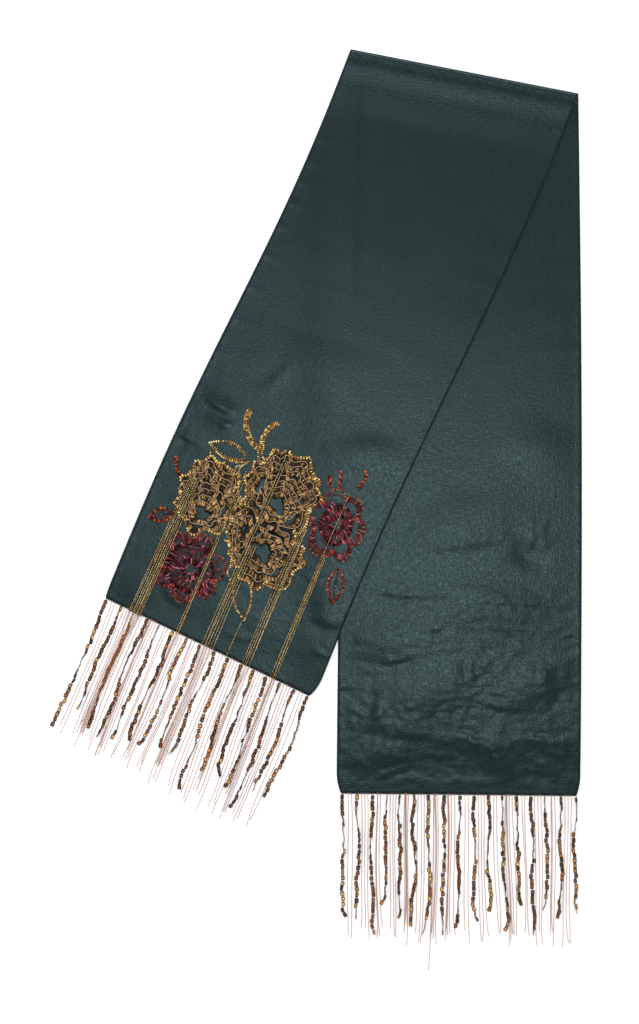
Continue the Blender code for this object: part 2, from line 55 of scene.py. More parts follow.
MM = 0.001
WALL = 1.4
GAP = 0.3
SHELL = 1.15
ROUNDING = 0.42 * SHELL

FOLD_LENGTH = 254
FOLD_SLOPE = 11
FOLD_RISE = 3.4
ROLL_RUN = 80
TAIL = 5
CORNER_RUN = 22
UNDER_BOW = 2.6
OVER_BOW = 5.5
STEP_CLEAR = 3
STEP_RUN = 58

# How much of the solids' swells the visible cloth keeps
SWELL_SHARE = 0.45

# Soft swells that the solids have too: place across as a share of the width, distance up from the hem,
# half length, half breadth and height in mm, and turn in degrees
SWELL_COLUMNS = ("across", "up", "half_length", "half_breadth", "height", "turn")
SWELLS = {
    "under": (
        (0.18, 168, 62, 30, 2.4, 4),
        (0.62, 205, 78, 34, 2.2, -6),
        (0.80, 120, 58, 32, 2.8, 24),
        (0.36, 112, 66, 34, 3.0, 16),
        (0.66, 42, 44, 26, 2.6, -58),
        (0.20, 44, 52, 27, 2.6, 6),
        (0.50, 300, 84, 40, 1.8, 10),
        (0.82, 380, 60, 40, 1.6, -30),
    ),
    "over": (
        (0.14, 238, 46, 26, 2.2, -28),
        (0.80, 262, 56, 28, 2.2, 22),
        (0.90, 96, 40, 24, 1.8, -50),
        (0.40, 330, 80, 36, 1.6, 8),
        (0.12, 24, 30, 20, 1.4, 40),
    ),
}

# Creases, listed one by one: where, how long and wide, how high in mm, turn in degrees, and how far they
# bend.
# A ridge stands up on both sides, a step is higher on one side than on the other.
CREASE_COLUMNS = ("kind", "across", "up", "length", "width", "height", "turn", "bend")
CREASES = {
    "under": (
        ("ridge", 0.78, 262, 52, 13.0, -0.95, -20, 3),
        ("step", 0.28, 216, 150, 2.6, 0.34, -2, 2),
        ("step", 0.75, 207, 130, 2.6, 0.30, -3, -2),
        ("ridge", 0.06, 162, 44, 3.2, -0.45, -2, 1),
        ("step", 0.24, 145, 52, 2.6, 0.50, 15, 4),
        ("ridge", 0.71, 171, 16, 3.2, -0.32, 0, 0),
        ("ridge", 0.96, 171, 16, 3.2, -0.32, 10, 0),
        ("ridge", 0.03, 111, 26, 3.2, -0.45, 4, 1),
        ("ridge", 0.145, 107, 12, 3.0, -0.35, 40, 0),
        ("step", 0.68, 94, 66, 2.8, 0.45, -8, 4),
        ("ridge", 0.86, 133, 30, 5.0, 0.60, 55, -5),
        ("ridge", 0.17, 86, 34, 7.0, 0.45, 78, 0),
        ("step", 0.24, 66, 150, 9.0, 1.05, -7, 5),
        ("step", 0.12, 84, 60, 4.0, 0.45, -12, 3),
        ("step", 0.40, 40, 46, 2.8, 0.42, -6, 0),
        ("ridge", 0.56, 58, 50, 6.0, 0.75, -14, 3),
        ("ridge", 0.66, 38, 50, 6.0, 0.80, -62, 4),
        ("step", 0.87, 22, 56, 4.2, 0.50, -14, 2),
        ("ridge", 0.22, 24, 40, 4.0, 0.45, 14, 4),
        ("ridge", 0.10, 34, 34, 5.0, 0.40, -30, 3),
        ("step", 0.52, 272, 130, 8.0, 0.40, 7, 6),
        ("step", 0.30, 330, 90, 9.0, 0.35, -10, 5),
        ("ridge", 0.40, 176, 20, 3.4, -0.45, 10, 2),
        ("ridge", 0.62, 160, 18, 4.6, -0.45, -14, 2),
        ("ridge", 0.12, 92, 26, 5.5, -0.60, 30, 2),
        ("ridge", 0.90, 110, 40, 7.0, -0.45, 76, 4),
        ("ridge", 0.84, 60, 60, 5.0, 0.45, -8, 4),
    ),
    "over": (
        ("step", 0.12, 244, 46, 3.2, 0.80, -4, 4),
        ("ridge", 0.15, 232, 40, 3.6, 0.55, -6, 3),
        ("step", 0.05, 198, 36, 3.2, 0.60, -3, 3),
        ("step", 0.92, 75, 46, 3.6, 0.60, 10, 3),
        ("ridge", 0.96, 44, 30, 3.6, 0.45, 4, 3),
        ("ridge", 0.74, 268, 80, 13.0, 0.25, 40, 6),
        ("ridge", 0.30, 300, 70, 8.0, 0.35, 66, 4),
        ("step", 0.28, 30, 50, 4.0, 0.35, -14, 5),
        ("ridge", 0.60, 24, 40, 4.5, 0.35, 10, 5),
        ("ridge", 0.82, 118, 36, 4.0, 0.45, 30, 4),
    ),
}
# Short puckers along the over leg's left seam: distance up from the hem, and length inwards
PUCKERS = ((560, 13), (531, 16), (508, 14), (483, 17), (455, 12), (418, 16), (380, 13), (340, 17), (300, 14))


def rows_of(table, columns):
    return [SimpleNamespace(**dict(zip(columns, row))) for row in table]


def smooth_step(t):
    t = np.clip(t, 0, 1)
    return t * t * (3 - 2 * t)


def bell(t):
    return np.exp(-(t**2))


def unit(vectors):
    vectors = np.asarray(vectors, float)
    return vectors / np.maximum(np.linalg.norm(vectors, axis=-1, keepdims=True), 1e-12)


# Plan of the legs, on arrays of points


def downward(lean):
    lean = math.radians(lean)
    return np.array([-math.sin(lean), -math.cos(lean)])


def rightward(slope):
    slope = math.radians(slope)
    return np.array([math.cos(slope), -math.sin(slope)])


FOLD_ALONG = rightward(FOLD_SLOPE)
FOLD_INWARD = downward(FOLD_SLOPE)


def fold_point(u):
    return (np.asarray(u)[..., None] - 0.5) * FOLD_LENGTH * FOLD_ALONG


class Leg:
    """A stretch of the folded scarf. Pulls say how far the hem's seam draws in its left and right corner."""

    def __init__(self, name, length, lean, hem, slope, pulls):
        self.name, self.length, self.hem, self.pulls = name, length, hem, pulls
        self.down, self.across, self.hem_along = downward(lean), rightward(lean), rightward(slope)
        self.hem_middle = self.down * length

    def hem_point(self, u):
        return self.hem_middle + (np.asarray(u)[..., None] - 0.5) * self.hem * self.hem_along

    def bow(self, u, v):
        if self.name == "under":
            return UNDER_BOW * np.sin(math.pi * v) * (2 * u - 1)
        return OVER_BOW * np.sin(2 * math.pi * v) * (1 - 0.4 * v)

    def plan(self, u, v):
        """Points at shares u of the width, from the left, and v of the length, from the fold."""
        u, v = np.broadcast_arrays(np.asarray(u, float), np.asarray(v, float))
        near_hem = np.maximum(0.0, 1 - (1 - v) * self.length / CORNER_RUN) ** 2
        ends = []
        for side, pull in ((0.0, self.pulls[0]), (1.0, -self.pulls[1])):
            edge = fold_point(side) * (1 - v)[..., None] + self.hem_point(side) * v[..., None]
            ends.append(edge + (self.bow(side, v) + pull * near_hem)[..., None] * self.across)
        return ends[0] * (1 - u)[..., None] + ends[1] * u[..., None]

    def share_at_depth(self, depth):
        return depth / self.hem_middle.dot(FOLD_INWARD)

    def share_along(self, points):
        return np.clip(points @ self.down / self.length, 0, 1)

    def left_of_edge(self, side, points):
        """How far points lie to the left of an edge: side 0 is the left edge and 1 the right one."""
        return (self.plan(side, self.share_along(points)) - points) @ self.across

    def coordinates(self, points):
        """Distance across from the leg's middle, to the right, and up from the middle of its hem."""
        away = points - self.hem_middle
        return away @ self.across, -(away @ self.down)

    def turned(self, mark, points):
        """Distances along and aside of a mark's own long axis."""
        across, up = self.coordinates(points)
        side, rise, turn = across - (mark.across - 0.5) * self.hem, up - mark.up, math.radians(mark.turn)
        return side * math.cos(turn) + rise * math.sin(turn), rise * math.cos(turn) - side * math.sin(turn)


UNDER = Leg("under", 794, 0.5, 267, 0.6, (4.2, 3.6))
OVER = Leg("over", 692, 23.9, 255, 25.6, (1.0, 5.2))

# The turn at the fold
TURN_RADIUS = (WALL + GAP + FOLD_RISE) / 2
TURN_DEPTH = TURN_RADIUS + WALL / 2

# Uneven undulation


def lattice_noise(x, y, seed):
    """Smooth gradient noise of about -0.7 to 0.7."""
    x, y = np.broadcast_arrays(x, y)
    table = np.random.default_rng(seed).permutation(256)
    xi, yi = np.floor(x).astype(int), np.floor(y).astype(int)
    xf, yf = x - xi, y - yi
    fx, fy = xf**3 * (xf * (xf * 6 - 15) + 10), yf**3 * (yf * (yf * 6 - 15) + 10)

    def corner(i, j):
        angle = table[(table[(xi + i) & 255] + yi + j) & 255] * (math.tau / 256)
        return np.cos(angle) * (xf - i) + np.sin(angle) * (yf - j)

    low = corner(0, 0) * (1 - fx) + corner(1, 0) * fx
    high = corner(0, 1) * (1 - fx) + corner(1, 1) * fx
    return low * (1 - fy) + high * fy


def swell_height(leg, points):
    """The swells of the solids, pressed flatter."""
    height = 0
    for swell in rows_of(SWELLS[leg.name], SWELL_COLUMNS):
        along, aside = leg.turned(swell, points)
        inside = np.clip(1 - (along / swell.half_length) ** 2, 0, 1) ** 2
        height = height + swell.height * inside * np.clip(1 - (aside / swell.half_breadth) ** 2, 0, 1) ** 2
    height = height * SWELL_SHARE * smooth_step(leg.coordinates(points)[1] / 18)
    if leg is UNDER:
        height = height * smooth_step(-OVER.left_of_edge(1, points) / 30)
    return height


def crease_height(leg, points):
    """Ridges and steps, listed one by one."""
    height = 0
    for seed, crease in enumerate(rows_of(CREASES[leg.name], CREASE_COLUMNS)):
        along, aside = leg.turned(crease, points)
        along = along / (crease.length / 2)
        run = along * crease.length / 24
        aside = aside - crease.bend * (along**2 - 0.4) + 2.4 * lattice_noise(run * 1.5, 0.3, 50 + seed)
        aside = aside / (crease.width * (1 + 0.7 * lattice_noise(run, 0.6, 80 + seed)))
        fade = np.clip(1 - along**2, 0, 1) ** 1.5 * (1 + 0.9 * lattice_noise(run, 0.9, 110 + seed))
        if crease.kind == "ridge":
            profile = bell(aside) - 0.35 * bell(aside - 1.9)
        else:
            profile = np.tanh(aside * 1.4) * bell(aside / 3.2) * 0.8
        height = height + crease.height * fade * profile
    return height


def crumple(leg, points):
    """Small uneven wrinkles: strong in the under leg's lower half, weak elsewhere."""
    x, y = leg.coordinates(points)
    bend_x = x + 14 * lattice_noise(x / 60, y / 60, 3)
    bend_y = y + 14 * lattice_noise(x / 55 + 9, y / 55, 4)
    waves = lattice_noise(bend_x / 95, bend_y / 30, 5)
    folds = 0.45 - np.abs(lattice_noise(bend_x / 46, bend_y / 19, 6))
    dents = lattice_noise(bend_x / 15, bend_y / 10, 7)
    fine = lattice_noise(x / 8.5, y / 6.0, 8)
    if leg is OVER:
        beadwork = bell((x + 5) / 105) * bell((y - 140) / 105)
        lower = smooth_step((420 - y) / 300)
        return 0.14 * waves + 0.10 * lower * folds + beadwork * (0.24 * folds + 0.22 * dents + 0.09 * fine)
    crisp = lattice_noise(x / 4.6, y / 3.4, 9)
    clusters = bell((x - 19) / 30) * bell((y - 128) / 18) + bell((x + 13) / 28) * bell((y - 92) / 12)
    hem = smooth_step((130 - y) / 90)
    middle = smooth_step((280 - y) / 90) * (1 - 0.5 * hem)
    relief = 0.16 * waves + (0.14 * middle + 0.22 * hem) * folds + (0.22 * middle + 0.18 * hem) * dents
    relief = relief + (0.15 * middle + 0.12 * hem + 0.50 * clusters) * fine
    return relief + (0.05 * middle + 0.05 * hem + 0.16 * clusters) * crisp


def seam_ripple(leg, u, up):
    """Slight rise and fall of the sewn edges, and the puckers of the over leg's left seam."""
    height = 0
    for edge, seed in ((u * leg.hem, 21), ((1 - u) * leg.hem, 22)):
        height = height + 0.32 * np.exp(-edge / 7) * lattice_noise(up / 13, edge / 40 + 3, seed)
        height = height + 0.18 * bell((edge - 3.2) / 1.6)
    if leg is OVER:
        for place, reach in PUCKERS:
            height = height + 0.36 * bell(u * leg.hem / reach) * bell((up - place) / 2.6)
    return height


def soft_floor(height):
    """The height, eased to zero where it would fall below."""
    return 0.5 * (height + np.sqrt(height**2 + 0.22**2))


def solid_middle(leg, points):
    """Height of the middle of a leg's wall where it has no fine relief."""
    height = WALL / 2 + swell_height(leg, points)
    if leg is UNDER:
        return height
    depth = (points @ FOLD_INWARD - TURN_DEPTH) / ROLL_RUN
    on_under = 1 - smooth_step((UNDER.left_of_edge(0, points) - STEP_CLEAR) / STEP_RUN)
    roll = FOLD_RISE * 0.5 * (1 + np.cos(math.pi * np.clip(depth, 0, 1)))
    return height + (WALL + GAP) * np.maximum(on_under, 1 - smooth_step(depth)) + roll


def fine_relief(leg, u, points):
    """Everything the visible cloth has beyond its solid's form, never below what it lies on."""
    up = leg.coordinates(points)[1]
    at_hem = smooth_step(up / 16)
    base = 0.9 * smooth_step(up / 50)
    if leg is UNDER:
        base = 0.4 * at_hem + 1.7 * smooth_step((up - 20) / 44)
    relief = (crease_height(leg, points) + crumple(leg, points)) * at_hem + base
    relief = relief + 0.30 * lattice_noise(u * leg.hem / 7, up / 22, 41) * np.exp(-up / 9)
    if leg is UNDER:
        # Pressed flat towards the over leg and below it
        beside = -OVER.left_of_edge(1, points)
        relief = (relief - base) * smooth_step((beside - 6) / 26) + base * smooth_step((beside - 2) / 110)
        relief = relief + (seam_ripple(leg, u, up) + 0.15) * smooth_step((beside - 2) / 10)
        return soft_floor(relief) * smooth_step((beside - 1) / 6)
    # The under leg's hidden edge shows through, and a crest runs beside the fold
    show = 0.42 * bell((UNDER.left_of_edge(0, points) + 5) / 8) * smooth_step((up - 330) / 150)
    depth = points @ FOLD_INWARD - TURN_DEPTH
    uneven = 0.25 * lattice_noise(u * 7, depth / 30, 23) + 0.07 * lattice_noise(u * 19, depth / 8, 24)
    crest = 1 - smooth_step((depth - 9) / 26) + (1 - smooth_step((depth - 20) / 30)) * uneven
    relief = soft_floor(relief - 0.28 + show + seam_ripple(leg, u, up))
    return relief * smooth_step((depth - 18) / 40) + crest * smooth_step(depth / 10)


def over_top(points):
    """Height of the over leg's upper side at plan points."""
    v = OVER.share_along(points)
    left, right = OVER.plan(0.0, v), OVER.plan(1.0, v)
    u = np.clip(((points - left) @ OVER.across) / ((right - left) @ OVER.across), 0, 1)
    return solid_middle(OVER, points) + fine_relief(OVER, u, points) - WALL / 2 + SHELL


# Where the fold line's middle stands in the frame
leg_low, leg_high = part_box("under_leg")
right_edge = UNDER.plan(1.0, np.linspace(0.02, 1, 400))[:, 0].max()
ORIGIN = np.array([leg_high[0] - right_edge * MM, leg_low[1] - UNDER.plan(1.0, 1.0)[1] * MM, 0])

# Meshes


def link(name, data):
    obj = bpy.data.objects.new(name, data)
    bpy.context.scene.collection.objects.link(obj)
    return obj


def make_piece(name, points, faces, material, tint=None, uv=None):
    """A piece of the scarf from arrays of points and faces, with an optional tint at each point."""
    mesh = bpy.data.meshes.new(name)
    corners = np.concatenate([f.ravel() for f in faces]).astype(np.int32)
    sizes = np.concatenate([np.full(len(f), f.shape[1]) for f in faces])
    starts = np.concatenate([[0], np.cumsum(sizes)[:-1]]).astype(np.int32)
    mesh.vertices.add(len(points))
    mesh.vertices.foreach_set("co", (points * MM + ORIGIN).astype(np.float32).ravel())
    mesh.loops.add(len(corners))
    mesh.loops.foreach_set("vertex_index", corners)
    mesh.polygons.add(len(sizes))
    mesh.polygons.foreach_set("loop_start", starts)
    mesh.polygons.foreach_set("use_smooth", np.ones(len(sizes), bool))
    mesh.update(calc_edges=True)
    if uv is not None:
        layer = mesh.uv_layers.new(name="cloth")
        layer.data.foreach_set("uv", (uv * MM).astype(np.float32)[corners].ravel())
    if tint is not None:
        layer = mesh.color_attributes.new("tint", "FLOAT_COLOR", "POINT")
        layer.data.foreach_set("color", np.insert(tint, 3, 1, 1).astype(np.float32).ravel())
    mesh.validate()
    mesh.materials.append(material)
    obj = link(name, mesh)
    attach(obj, "root")
    return obj


class Heap:
    """Gathers many small shapes into one mesh."""

    def __init__(self):
        self.points, self.faces, self.tints, self.count = [], {}, [], 0

    def add(self, points, faces, tints):
        points = points.reshape(-1, 3)
        for face_set in faces:
            self.faces.setdefault(face_set.shape[1], []).append(face_set + self.count)
        self.points.append(points)
        self.tints.append(np.broadcast_to(tints, points.shape))
        self.count += len(points)

    def stamp(self, template, centres, axes, tints):
        """A copy of a template at each centre, along three scaled axes for each copy."""
        points, faces, shade = template
        if not len(centres):
            return
        placed = centres[:, None, :] + np.einsum("pk,mkc->mpc", points, axes)
        offsets = (np.arange(len(centres)) * len(points))[:, None, None]
        moved = [(f[None] + offsets).reshape(-1, f.shape[1]) for f in faces]
        # The template's ring shades, painted shade and highlights, darken and lighten each copy's tint
        tint = np.clip(tints[:, None, :] * shade[None, :, None], 0, 1)
        self.add(placed, moved, tint.reshape(-1, 3))

    def piece(self, name, material, slot):
        faces = [np.concatenate(sets) for sets in self.faces.values()]
        points, tints = np.concatenate(self.points), np.concatenate(self.tints)
        return make_piece(name, points, faces, material, tints)


def ring_faces(rings, sides):
    """Quads between rings of points, and a cap at each end."""
    k = np.arange(sides)
    n = (k + 1) % sides
    rows = np.arange(rings - 1)[:, None] * sides
    quads = np.stack([rows + k, rows + n, rows + sides + n, rows + sides + k], -1).reshape(-1, 4)
    return [quads, np.array([k[::-1], rows[-1] + sides + k])]


def grid_faces(rows, columns):
    """Quads of a grid of points, and the points round its rim."""
    index = np.arange(rows * columns).reshape(rows, columns)
    quads = np.stack([index[:-1, :-1], index[:-1, 1:], index[1:, 1:], index[1:, :-1]], -1).reshape(-1, 4)
    return quads, np.concatenate([index[0, :], index[1:, -1], index[-1, -2::-1], index[-2:0:-1, 0]])


def spun(rings, sides):
    """A turned template about its own y axis, from rings of radius, height and shade."""
    circle = [(math.cos(angle), math.sin(angle)) for angle in np.arange(sides) * math.tau / sides]
    points = [(radius * x, height, radius * z) for radius, height, _ in rings for x, z in circle]
    faces = [face_set[:, ::-1] for face_set in ring_faces(len(rings), sides)]
    return np.array(points), faces, np.repeat([ring[2] for ring in rings], sides)


def ball_template():
    """A low round ball of radius 1."""
    t = (1 + 5**0.5) / 2
    points = [(-1, t, 0), (1, t, 0), (-1, -t, 0), (1, -t, 0), (0, -1, t), (0, 1, t)]
    points += [(0, -1, -t), (0, 1, -t), (t, 0, -1), (t, 0, 1), (-t, 0, -1), (-t, 0, 1)]
    faces = [(0, 11, 5), (0, 5, 1), (0, 1, 7), (0, 7, 10), (0, 10, 11), (1, 5, 9), (5, 11, 4)]
    faces += [(11, 10, 2), (10, 7, 6), (7, 1, 8), (3, 9, 4), (3, 4, 2), (3, 2, 6), (3, 6, 8)]
    faces += [(3, 8, 9), (4, 9, 5), (2, 4, 11), (6, 2, 10), (8, 6, 7), (9, 8, 1)]
    return unit(points), [np.array(faces)], np.ones(12)


def sequin_template():
    """A squarish cupped sequin, 1 wide and 1 long, facing +z, with painted shade on its broad rim and a
    painted highlight in its middle.
    """
    sides = 12
    # Ring shades: painted shade at the rim, painted highlight in the middle
    rings = ((1.0, 0.0, 0.30), (0.97, 0.16, 0.20), (0.76, 0.22, 0.25), (0.58, 0.08, 1.5), (0.12, 0.05, 2.6))
    angles = math.tau * (np.arange(sides) + 0.5) / sides
    outline = 0.5 * np.stack([np.cos(angles), np.sin(angles)], -1)
    outline *= ((np.abs(2 * outline) ** 7).sum(1) ** (-1 / 7))[:, None]
    points = [(*(radius * corner), height) for radius, height, _ in rings for corner in outline]
    return np.array(points), ring_faces(len(rings), sides), np.repeat([ring[2] for ring in rings], sides)


BALL = ball_template()
# Ring shades are painted light: seeds get painted shade at both ends and a painted highlight round the
# middle, bugles and stitches painted shade at their ends
SEED_RINGS = ((0.35, -0.80, 0.05), (0.85, -0.62, 0.35), (1.0, 0, 1.7), (0.85, 0.62, 0.35), (0.35, 0.80, 0.05))
SEED = spun(SEED_RINGS, 7)
BUGLE = spun(((0.7, -0.5, 0.45), (1.0, -0.42, 1.0), (1.0, 0.42, 1.0), (0.7, 0.5, 0.45)), 5)
STITCH = spun(((0.4, -0.5, 0.6), (1.0, -0.22, 1.1), (0.95, 0.22, 1.0), (0.4, 0.5, 0.6)), 4)
SEQUIN = sequin_template()


def frames_along(tangents, twist=0.0):
    """Axes for shapes whose own y runs along the tangents and whose own z faces up, turned by twist."""
    y = unit(tangents)
    x = unit(np.cross(y, (0.0, 0.0, 1.0)))
    z = np.cross(x, y)
    twist = np.broadcast_to(twist, y.shape[:1])[:, None]
    return np.stack([x * np.cos(twist) + z * np.sin(twist), y, z * np.cos(twist) - x * np.sin(twist)], 1)


def scaled(axes, x, y, z):
    """Axes with their lengths set, each a number or one number a copy."""
    return axes * np.stack(np.broadcast_arrays(x, y, z, np.zeros(len(axes)))[:3], 1)[:, :, None]


def lengths_along(path):
    return np.concatenate([[0], np.cumsum(np.linalg.norm(np.diff(path, axis=0), axis=1))])


def resample(path, step):
    """Points at even distances along a polyline."""
    path = np.asarray(path, float)
    lengths = lengths_along(path)
    places = np.linspace(0, lengths[-1], max(2, int(round(lengths[-1] / step)) + 1))
    return np.stack([np.interp(places, lengths, values) for values in path.T], 1)


def tangents_of(path):
    return unit(np.gradient(path, axis=0))


def add_tube(heap, path, radius, tint, sides=4):
    """A thin tube along 3-D points."""
    axes = frames_along(tangents_of(path))
    angles = (np.arange(sides) * math.tau / sides)[:, None]
    ring = np.cos(angles) * axes[:, :1] + np.sin(angles) * axes[:, 2:]
    points = path[:, None] + ring * np.broadcast_to(radius, len(path))[:, None, None]
    heap.add(points, ring_faces(len(path), sides), tint)


# Materials


class Look:
    """A material whose nodes are made and linked by the names of their sockets."""

    def __init__(self, name, settings):
        self.material = bpy.data.materials.new(name)
        self.material.use_nodes = True
        self.tree = self.material.node_tree
        self.shade(settings)

    def fill(self, node, inputs):
        for key, value in inputs.items():
            if isinstance(value, bpy.types.NodeSocket):
                self.tree.links.new(value, node.inputs[key])
            else:
                node.inputs[key].default_value = value

    def shade(self, settings):
        self.fill(self.tree.nodes["Principled BSDF"], settings)

    def node(self, kind, output, inputs, **settings):
        node = self.tree.nodes.new("ShaderNode" + kind)
        for key, value in settings.items():
            setattr(node, key, value)
        self.fill(node, inputs)
        return node.outputs[output]

    def math(self, a, operation, b):
        return self.node("Math", "Value", {0: a, 1: b}, operation=operation)

    def ranged(self, value, low, high, to_low, to_high):
        ends = {"From Min": low, "From Max": high, "To Min": to_low, "To Max": to_high}
        return self.node("MapRange", "Result", {"Value": value, **ends})


SATIN_DEEP = (0.0045, 0.0102, 0.0106, 1)
SATIN_LIGHT = (0.0096, 0.0175, 0.0182, 1)


def satin_material():
    """Dark green satin: slow drift of tone, crosswise slubs, fine twill and a soft neutral sheen."""
    look = Look("satin_cloth", {"Specular IOR Level": 0.17, "Specular Tint": (0.64, 0.97, 1, 1)})
    look.shade({"Sheen Weight": 0.01, "Sheen Roughness": 0.4, "Sheen Tint": (0.6, 0.85, 0.85, 1)})
    cloth = look.node("UVMap", "UV", {}, uv_map="cloth")

    def noise(across, along, detail, roughness=0.5):
        place = look.node("Mapping", "Vector", {"Vector": cloth, "Scale": (across, along, 1)})
        inputs = {"Vector": place, "Scale": 1.0, "Detail": detail, "Roughness": roughness}
        return look.node("TexNoise", "Fac", inputs, noise_dimensions="2D")

    drift = noise(9, 6.3, 3)
    streak = noise(192, 21, 4, 0.6)
    slub = noise(180.6, 473, 2, 0.7)
    warp = noise(473, 193.5, 1)
    speck = noise(820, 820, 1)
    pebble = noise(342, 456, 2)

    # The lower half is more handled, and so is the band beside the fold: the threads stand up more there
    # and shine unevenly
    from_fold = look.node("SeparateXYZ", "Y", {"Vector": cloth})
    handled = look.ranged(from_fold, -0.16, -0.44, 0.25, 1.0)
    handled = look.math(handled, "MAXIMUM", look.ranged(from_fold, -0.062, -0.044, 0.0, 0.9))
    threads = look.math(look.math(slub, "ADD", speck), "SUBTRACT", 1.0)
    contrast = look.math(look.math(handled, "MULTIPLY", 2.1), "ADD", 0.35)
    tone = look.math(look.math(drift, "ADD", streak), "ADD", look.math(threads, "MULTIPLY", contrast))
    share = look.ranged(tone, 0.45, 1.55, 0.0, 1.0)
    colours = {"A": SATIN_DEEP, "B": SATIN_LIGHT, "Factor": share}
    look.shade({"Base Color": look.node("Mix", "Result", colours, data_type="RGBA")})

    # Roughness follows the threads
    grain = look.math(look.math(slub, "ADD", warp), "SUBTRACT", 1.0)
    look.shade({"Roughness": look.ranged(look.math(grain, "MULTIPLY", handled), -0.35, 0.35, 0.17, 0.33)})

    wave = {"Vector": cloth, "Scale": 480, "Distortion": 1.5}
    relief = look.node("TexWave", "Fac", wave, wave_type="BANDS", bands_direction="DIAGONAL")
    relief = look.math(relief, "MULTIPLY", 0.012)
    for texture, share in ((slub, 0.55), (warp, 0.40), (pebble, 0.22)):
        relief = look.math(relief, "ADD", look.math(texture, "MULTIPLY", share))
    relief = look.math(look.math(relief, "MULTIPLY", handled), "ADD", look.math(streak, "MULTIPLY", 0.25))
    bump = {"Strength": 1.0, "Distance": 0.22 * MM, "Height": relief}
    look.shade({"Normal": look.node("Bump", "Normal", bump)})
    return look.material


def tinted_material(name, roughness, metallic, specular):
    """A material whose colour comes from each point's tint, with small uneven patches of wear."""
    look = Look(name, {"Metallic": metallic, "Specular IOR Level": specular})
    tint = look.node("VertexColor", "Color", {}, layer_name="tint")
    place = look.node("TexCoord", "Object", {})
    noise = look.node("TexNoise", "Fac", {"Scale": 900, "Detail": 2, "Vector": place})
    worn = {0: tint, "Scale": look.ranged(noise, 0.3, 0.7, 0.82, 1.18)}
    look.shade({"Base Color": look.node("VectorMath", "Vector", worn, operation="SCALE")})
    look.shade({"Roughness": look.ranged(noise, 0, 1, max(0.05, roughness - 0.1), roughness + 0.12)})
    return look.material


SATIN = satin_material()
SEQUIN_FOIL = tinted_material("sequin_foil", 0.34, 0.5, 0.05)
BEAD_GOLD = tinted_material("gold_bead", 0.26, 0.5, 0.25)
BEAD_RED = tinted_material("red_bead", 0.22, 0.15, 0.15)
THREAD = tinted_material("metal_thread", 0.38, 0.35, 0.12)
CHAIN = tinted_material("ball_chain", 0.32, 0.6, 0.2)

# Cloth

UPPER_STEP = 3.8
LOWER_STEP = 2.1
COLUMNS = 112
TURN_STEPS = 14


def shell_piece(name, middles, places, material):
    """A closed shell about a grid of middle points, its edges rounded, with cloth coordinates."""
    quads, rim = grid_faces(*middles.shape[:2])
    normals = unit(np.cross(np.gradient(middles, axis=0), np.gradient(middles, axis=1))).reshape(-1, 3)
    middles, places = middles.reshape(-1, 3), places.reshape(-1, 2)
    run, count = middles[rim], len(middles)
    outward = np.cross(unit(np.roll(run, -1, 0) - np.roll(run, 1, 0)), normals[rim])
    outward = outward * np.sign(((run - middles.mean(0)) * outward).sum())
    edge = 2 * count + np.arange(len(rim))
    after, edge_after = np.roll(rim, -1), np.roll(edge, -1)
    upper_side = np.stack([rim, after, edge_after, edge], -1)
    lower_side = np.stack([edge, edge_after, count + after, count + rim], -1)
    faces = np.concatenate([quads[:, [0, 3, 2, 1]], quads + count, upper_side, lower_side])
    half = normals * SHELL / 2
    points = np.concatenate([middles + half, middles - half, run + outward * ROUNDING])
    uv = np.concatenate([places, places, places[rim]])
    return make_piece(name, points, [faces], material, uv=uv)


def leg_grid(leg, start_depth, fine_length):
    """Middle points of a leg's cloth and their cloth coordinates, in closer rows over its fine length."""
    start, turn = leg.share_at_depth(start_depth), 1 - fine_length / leg.length
    upper = int(round((turn - start) * leg.length / UPPER_STEP))
    lower = int(round(fine_length / LOWER_STEP))
    v = np.concatenate([np.linspace(start, turn, upper + 1)[:-1], np.linspace(turn, 1, lower + 1)])[:, None]
    u = np.linspace(0, 1, COLUMNS + 1)
    # Rows start level with the fold and end level with the hem
    ratio = leg.hem_middle.dot(FOLD_INWARD) / (leg.hem_point(u) @ FOLD_INWARD)
    v = v * (1 + (ratio - 1) * (1 - v) ** 2)
    u = np.broadcast_to(u, v.shape)
    points = leg.plan(u, v)
    height = solid_middle(leg, points) + fine_relief(leg, u, points) - (WALL - SHELL) / 2
    return np.dstack([points, height]), np.stack([(u - 0.5) * leg.hem, -v * leg.length], -1)


def turn_grid():
    """The cloth where it turns over at the fold, from the tail under the roll up to the over leg."""
    radius = TURN_RADIUS - (WALL - SHELL) / 2
    u = np.linspace(0, 1, COLUMNS + 1)
    rows, shares = [], []
    for step in range(-1, TURN_STEPS):
        share = max(0, step) / TURN_STEPS
        tail = TAIL if step < 0 else 0
        below = UNDER.plan(u, UNDER.share_at_depth(TURN_DEPTH + tail)) - fold_point(u)
        above = OVER.plan(u, OVER.share_at_depth(TURN_DEPTH)) - fold_point(u)
        sideways = (1 - share) * (below @ FOLD_ALONG) + share * (above @ FOLD_ALONG)
        inwards = TURN_DEPTH + tail - radius * math.sin(math.pi * share)
        plan = fold_point(u) + sideways[:, None] * FOLD_ALONG + inwards * FOLD_INWARD
        height = WALL / 2 + TURN_RADIUS - radius * math.cos(math.pi * share)
        rows.append(np.column_stack([plan, np.full(len(u), height)]))
        back = (1 - share) * math.pi * radius + tail
        shares.append(np.column_stack([(u - 0.5) * FOLD_LENGTH, np.full(len(u), back)]))
    return np.array(rows), np.array(shares)


under_cloth = shell_piece("under_cloth", *leg_grid(UNDER, TURN_DEPTH + TAIL + GAP, 300), SATIN)
over_parts = [np.concatenate(parts) for parts in zip(turn_grid(), leg_grid(OVER, TURN_DEPTH, 290))]
over_cloth = shell_piece("over_cloth", *over_parts, SATIN)

